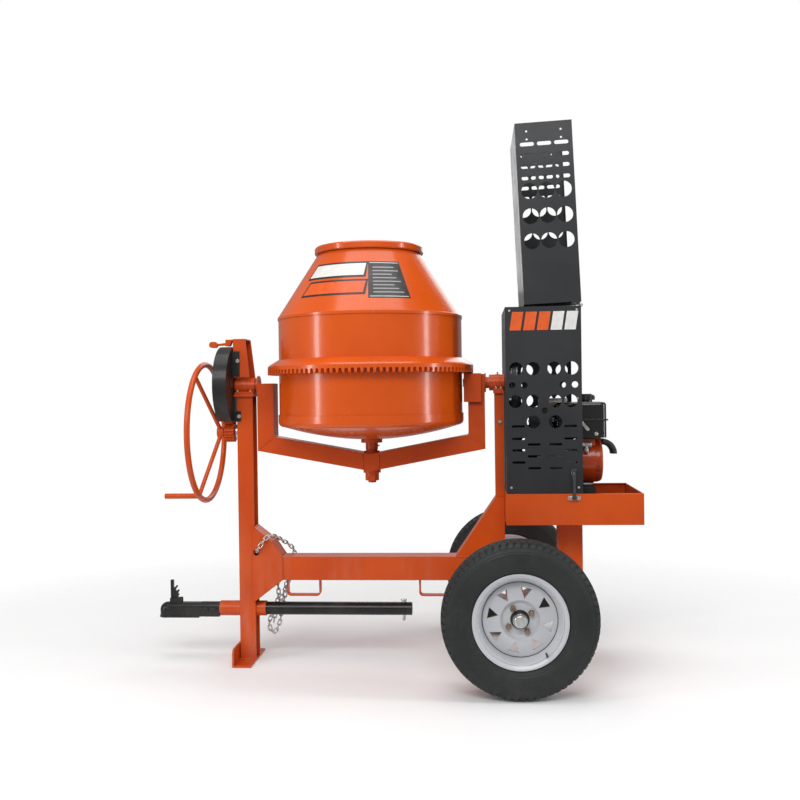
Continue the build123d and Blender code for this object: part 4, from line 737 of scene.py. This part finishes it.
def carburettor(bm):
    """Body, bowl and flange seen below the tank's near side."""
    body = [(0.0, 0.001), (0.0, 0.013), (0.006, 0.013), (0.008, 0.010), (0.034, 0.010),
            (0.036, 0.0125), (0.042, 0.0125), (0.042, 0.001)]
    lathe(bm, body, (CARB_X, CARB_Y, CARB_Z), (1, 0, 0), 28)
    bowl = [(0.0, 0.001), (0.0, 0.007), (0.004, 0.0105), (0.016, 0.0110), (0.018, 0.0085),
            (0.026, 0.0085), (0.026, 0.001)]
    lathe(bm, bowl, (CARB_X + 0.020, CARB_Y, CARB_Z - 0.032), (0, 0, 1), 28)
    for along in (0.006, 0.036):
        bolt(bm, (CARB_X + along, CARB_Y - 0.012, CARB_Z), (0, -1, 0), 0.006, 0.004, False)
    linkage = ((0.006, -0.011, -0.006), (0.014, -0.014, 0.004), (0.032, -0.014, 0.002))
    rounded_bar(bm, [(CARB_X + x, CARB_Y + y, CARB_Z + z) for x, y, z in linkage], 0.0018)


smooth(piece("carburettor_body", carburettor, "cast_grey", "frame"), 35.0)


def choke_plate(bm):
    """A bright folded lever on the tank's near face."""
    lathe(bm, [(0.0, 0.001), (0.0, 0.008), (0.003, 0.008), (0.0035, 0.006), (0.0035, 0.001)],
          (0.812, -0.1325, 1.036), (0, -1, 0), 24)
    low, high = Vector((0.811, -0.1345, 1.040)), Vector((0.838, -0.1345, 1.008))
    along = (high - low).normalized()
    side = Vector((along.z, 0, -along.x))
    half = [(0.0, 0.006), (0.5, 0.0055), (0.8, 0.0075), (1.0, 0.006), (1.08, 0.002)]
    length = (high - low).length
    outline = [low + along * (t * length) + side * w for t, w in half]
    outline += [low + along * (t * length) - side * w for t, w in reversed(half)]
    prism(bm, outline, (0, -0.0016, 0))


smooth(piece("choke_lever", choke_plate, "hinge_zinc", "frame"), 35.0)


def engine_bolts(bm):
    """Bolts round the recoil cover, one on the tank's near side and three low on the crankcase."""
    for turn in (40, 160, 280):
        a = math.radians(turn)
        place = (0.8725, RECOIL_BOLT_R * math.cos(a), CRANK_Z + RECOIL_BOLT_R * math.sin(a))
        bolt(bm, place, (1, 0, 0), 0.008, 0.005)
    bolt(bm, (0.872, -0.1322, 0.990), (0, -1, 0), 0.010, 0.005)
    for y in (-0.090, 0.0, 0.090):
        bolt(bm, (0.8012, y, 0.792), (1, 0, 0), 0.009, 0.005)


smooth(piece("engine_bolts", engine_bolts, "zinc", "frame"), 35.0)


def cooling_fins(bm):
    """Thin plates round the cylinder on the engine's far side."""
    outline = [(0.668, 0.862), (0.775, 0.862), (0.783, 0.872), (0.783, 1.000), (0.775, 1.010),
               (0.668, 1.010), (0.660, 1.000), (0.660, 0.872)]
    for n in range(9):
        prism(bm, [(x, 0.1225 + n * 0.0065, z) for x, z in outline], (0, 0.0022, 0))


piece("cooling_fins", cooling_fins, "engine_metal", "frame")


def recoil_slot_shade(bm):
    """Black bars of painted shade round the recoil cover's rim, standing in for the shaded vent slots."""
    for index in range(13):
        turn = math.radians(-12 - 11.5 * index)
        y, z = -RECOIL_R * math.cos(turn), CRANK_Z + RECOIL_R * math.sin(turn)
        rounded_bar(bm, [(0.8765, y, z), (0.8800, y, z), (0.8860, y, z), (0.8905, y, z)], 0.0022, 8)


# the bars are painted shade for the recoil cover's vent slots
smooth(piece("recoil_painted_slot_shade", recoil_slot_shade, "engine_plastic", "frame"), 40.0)


# ================================================================ camera, light and floor
def look(position, yaw, pitch, roll):
    """World matrix of a camera that faces +Y, turned left by yaw, up by pitch, rolled by roll."""
    a, b, c = (math.radians(v) for v in (yaw, pitch, roll))
    ahead = Vector((-math.sin(a) * math.cos(b), math.cos(a) * math.cos(b), math.sin(b)))
    right = Vector((math.cos(a), math.sin(a), 0.0))
    up = right.cross(ahead)
    right, up = right * math.cos(c) - up * math.sin(c), up * math.cos(c) + right * math.sin(c)
    turn = Matrix((right, up, -ahead)).transposed().to_4x4()
    return Matrix.Translation(Vector(position)) @ turn


CAMERA_AT = (0.3513, -4.1552, 1.176)
YAW, PITCH, ROLL = 4.284, -0.471, 0.78       # degrees
lens = bpy.data.cameras.new("photo_camera")
lens.lens = 42.75
lens.sensor_width = 36.0
lens.clip_end = 60.0
camera = bpy.data.objects.new("photo_camera", lens)
SCENE.collection.objects.link(camera)
camera.matrix_world = look(CAMERA_AT, YAW, PITCH, ROLL)
SCENE.camera = camera


def area(name, place, target, size, power):
    """A white rectangular light aimed at a target."""
    light = bpy.data.lights.new(name, "AREA")
    light.shape = "RECTANGLE"
    light.size, light.size_y = size
    light.energy = power
    obj = bpy.data.objects.new(name, light)
    SCENE.collection.objects.link(obj)
    obj.matrix_world = (Matrix.Translation(Vector(place)) @
                        (Vector(target) - Vector(place)).to_track_quat("-Z", "Y").to_matrix().to_4x4())


area("strip_left", (-4.0, -2.3, 1.7), (DRUM_X, 0.0, 1.3), (0.45, 3.0), 60.0)
area("strip_right", (4.2, -1.1, 1.7), (DRUM_X, 0.0, 1.3), (0.45, 3.0), 55.0)
area("front", (-0.4, -5.0, 4.4), (0.0, 0.0, 1.0), (4.5, 2.2), 205.0)
area("top", (0.0, -0.4, 5.2), (0.0, 0.0, 0.8), (4.0, 3.0), 110.0)
area("back", (0.5, 4.2, 3.2), (0.0, 0.0, 1.2), (4.0, 2.5), 60.0)

world = bpy.data.worlds.new("studio")
SCENE.world = world
world.use_nodes = True
backdrop = world.node_tree.nodes["Background"]
backdrop.inputs["Color"].default_value = (1.0, 1.0, 1.0, 1.0)
seen = world.node_tree.nodes.new("ShaderNodeLightPath")
level = world.node_tree.nodes.new("ShaderNodeMapRange")
level.inputs["To Min"].default_value = 0.30
level.inputs["To Max"].default_value = 1.0
world.node_tree.links.new(seen.outputs["Is Camera Ray"], level.inputs["Value"])
world.node_tree.links.new(level.outputs["Result"], backdrop.inputs["Strength"])
SCENE.view_settings.view_transform = "Standard"


FLOOR_HALF, FLOOR_Z = 14.0, -0.0005
floor_data = bpy.data.meshes.new("studio_floor")
floor_bm = bmesh.new()
floor_bm.faces.new([floor_bm.verts.new((x * FLOOR_HALF, y * FLOOR_HALF, FLOOR_Z))
                    for x, y in ((-1, -1), (1, -1), (1, 1), (-1, 1))])
floor_bm.to_mesh(floor_data)
floor_bm.free()
floor = bpy.data.objects.new("studio_floor", floor_data)
SCENE.collection.objects.link(floor)
g = Graph("studio_floor")
tone = g.mix(g.ramp(g.noise(1.5, 4.0), 0.3, 0.7), (0.88, 0.88, 0.88), (0.86, 0.86, 0.86))
distance = g.node("ShaderNodeVectorMath")
distance.operation = "LENGTH"
g.link(g.coords, distance.inputs[0])
g.link(g.ramp(distance.outputs["Value"], 1.2, 3.0, 1.0, 0.0), g.bsdf.inputs["Alpha"])
floor.data.materials.append(g.finish(tone, 0.9))
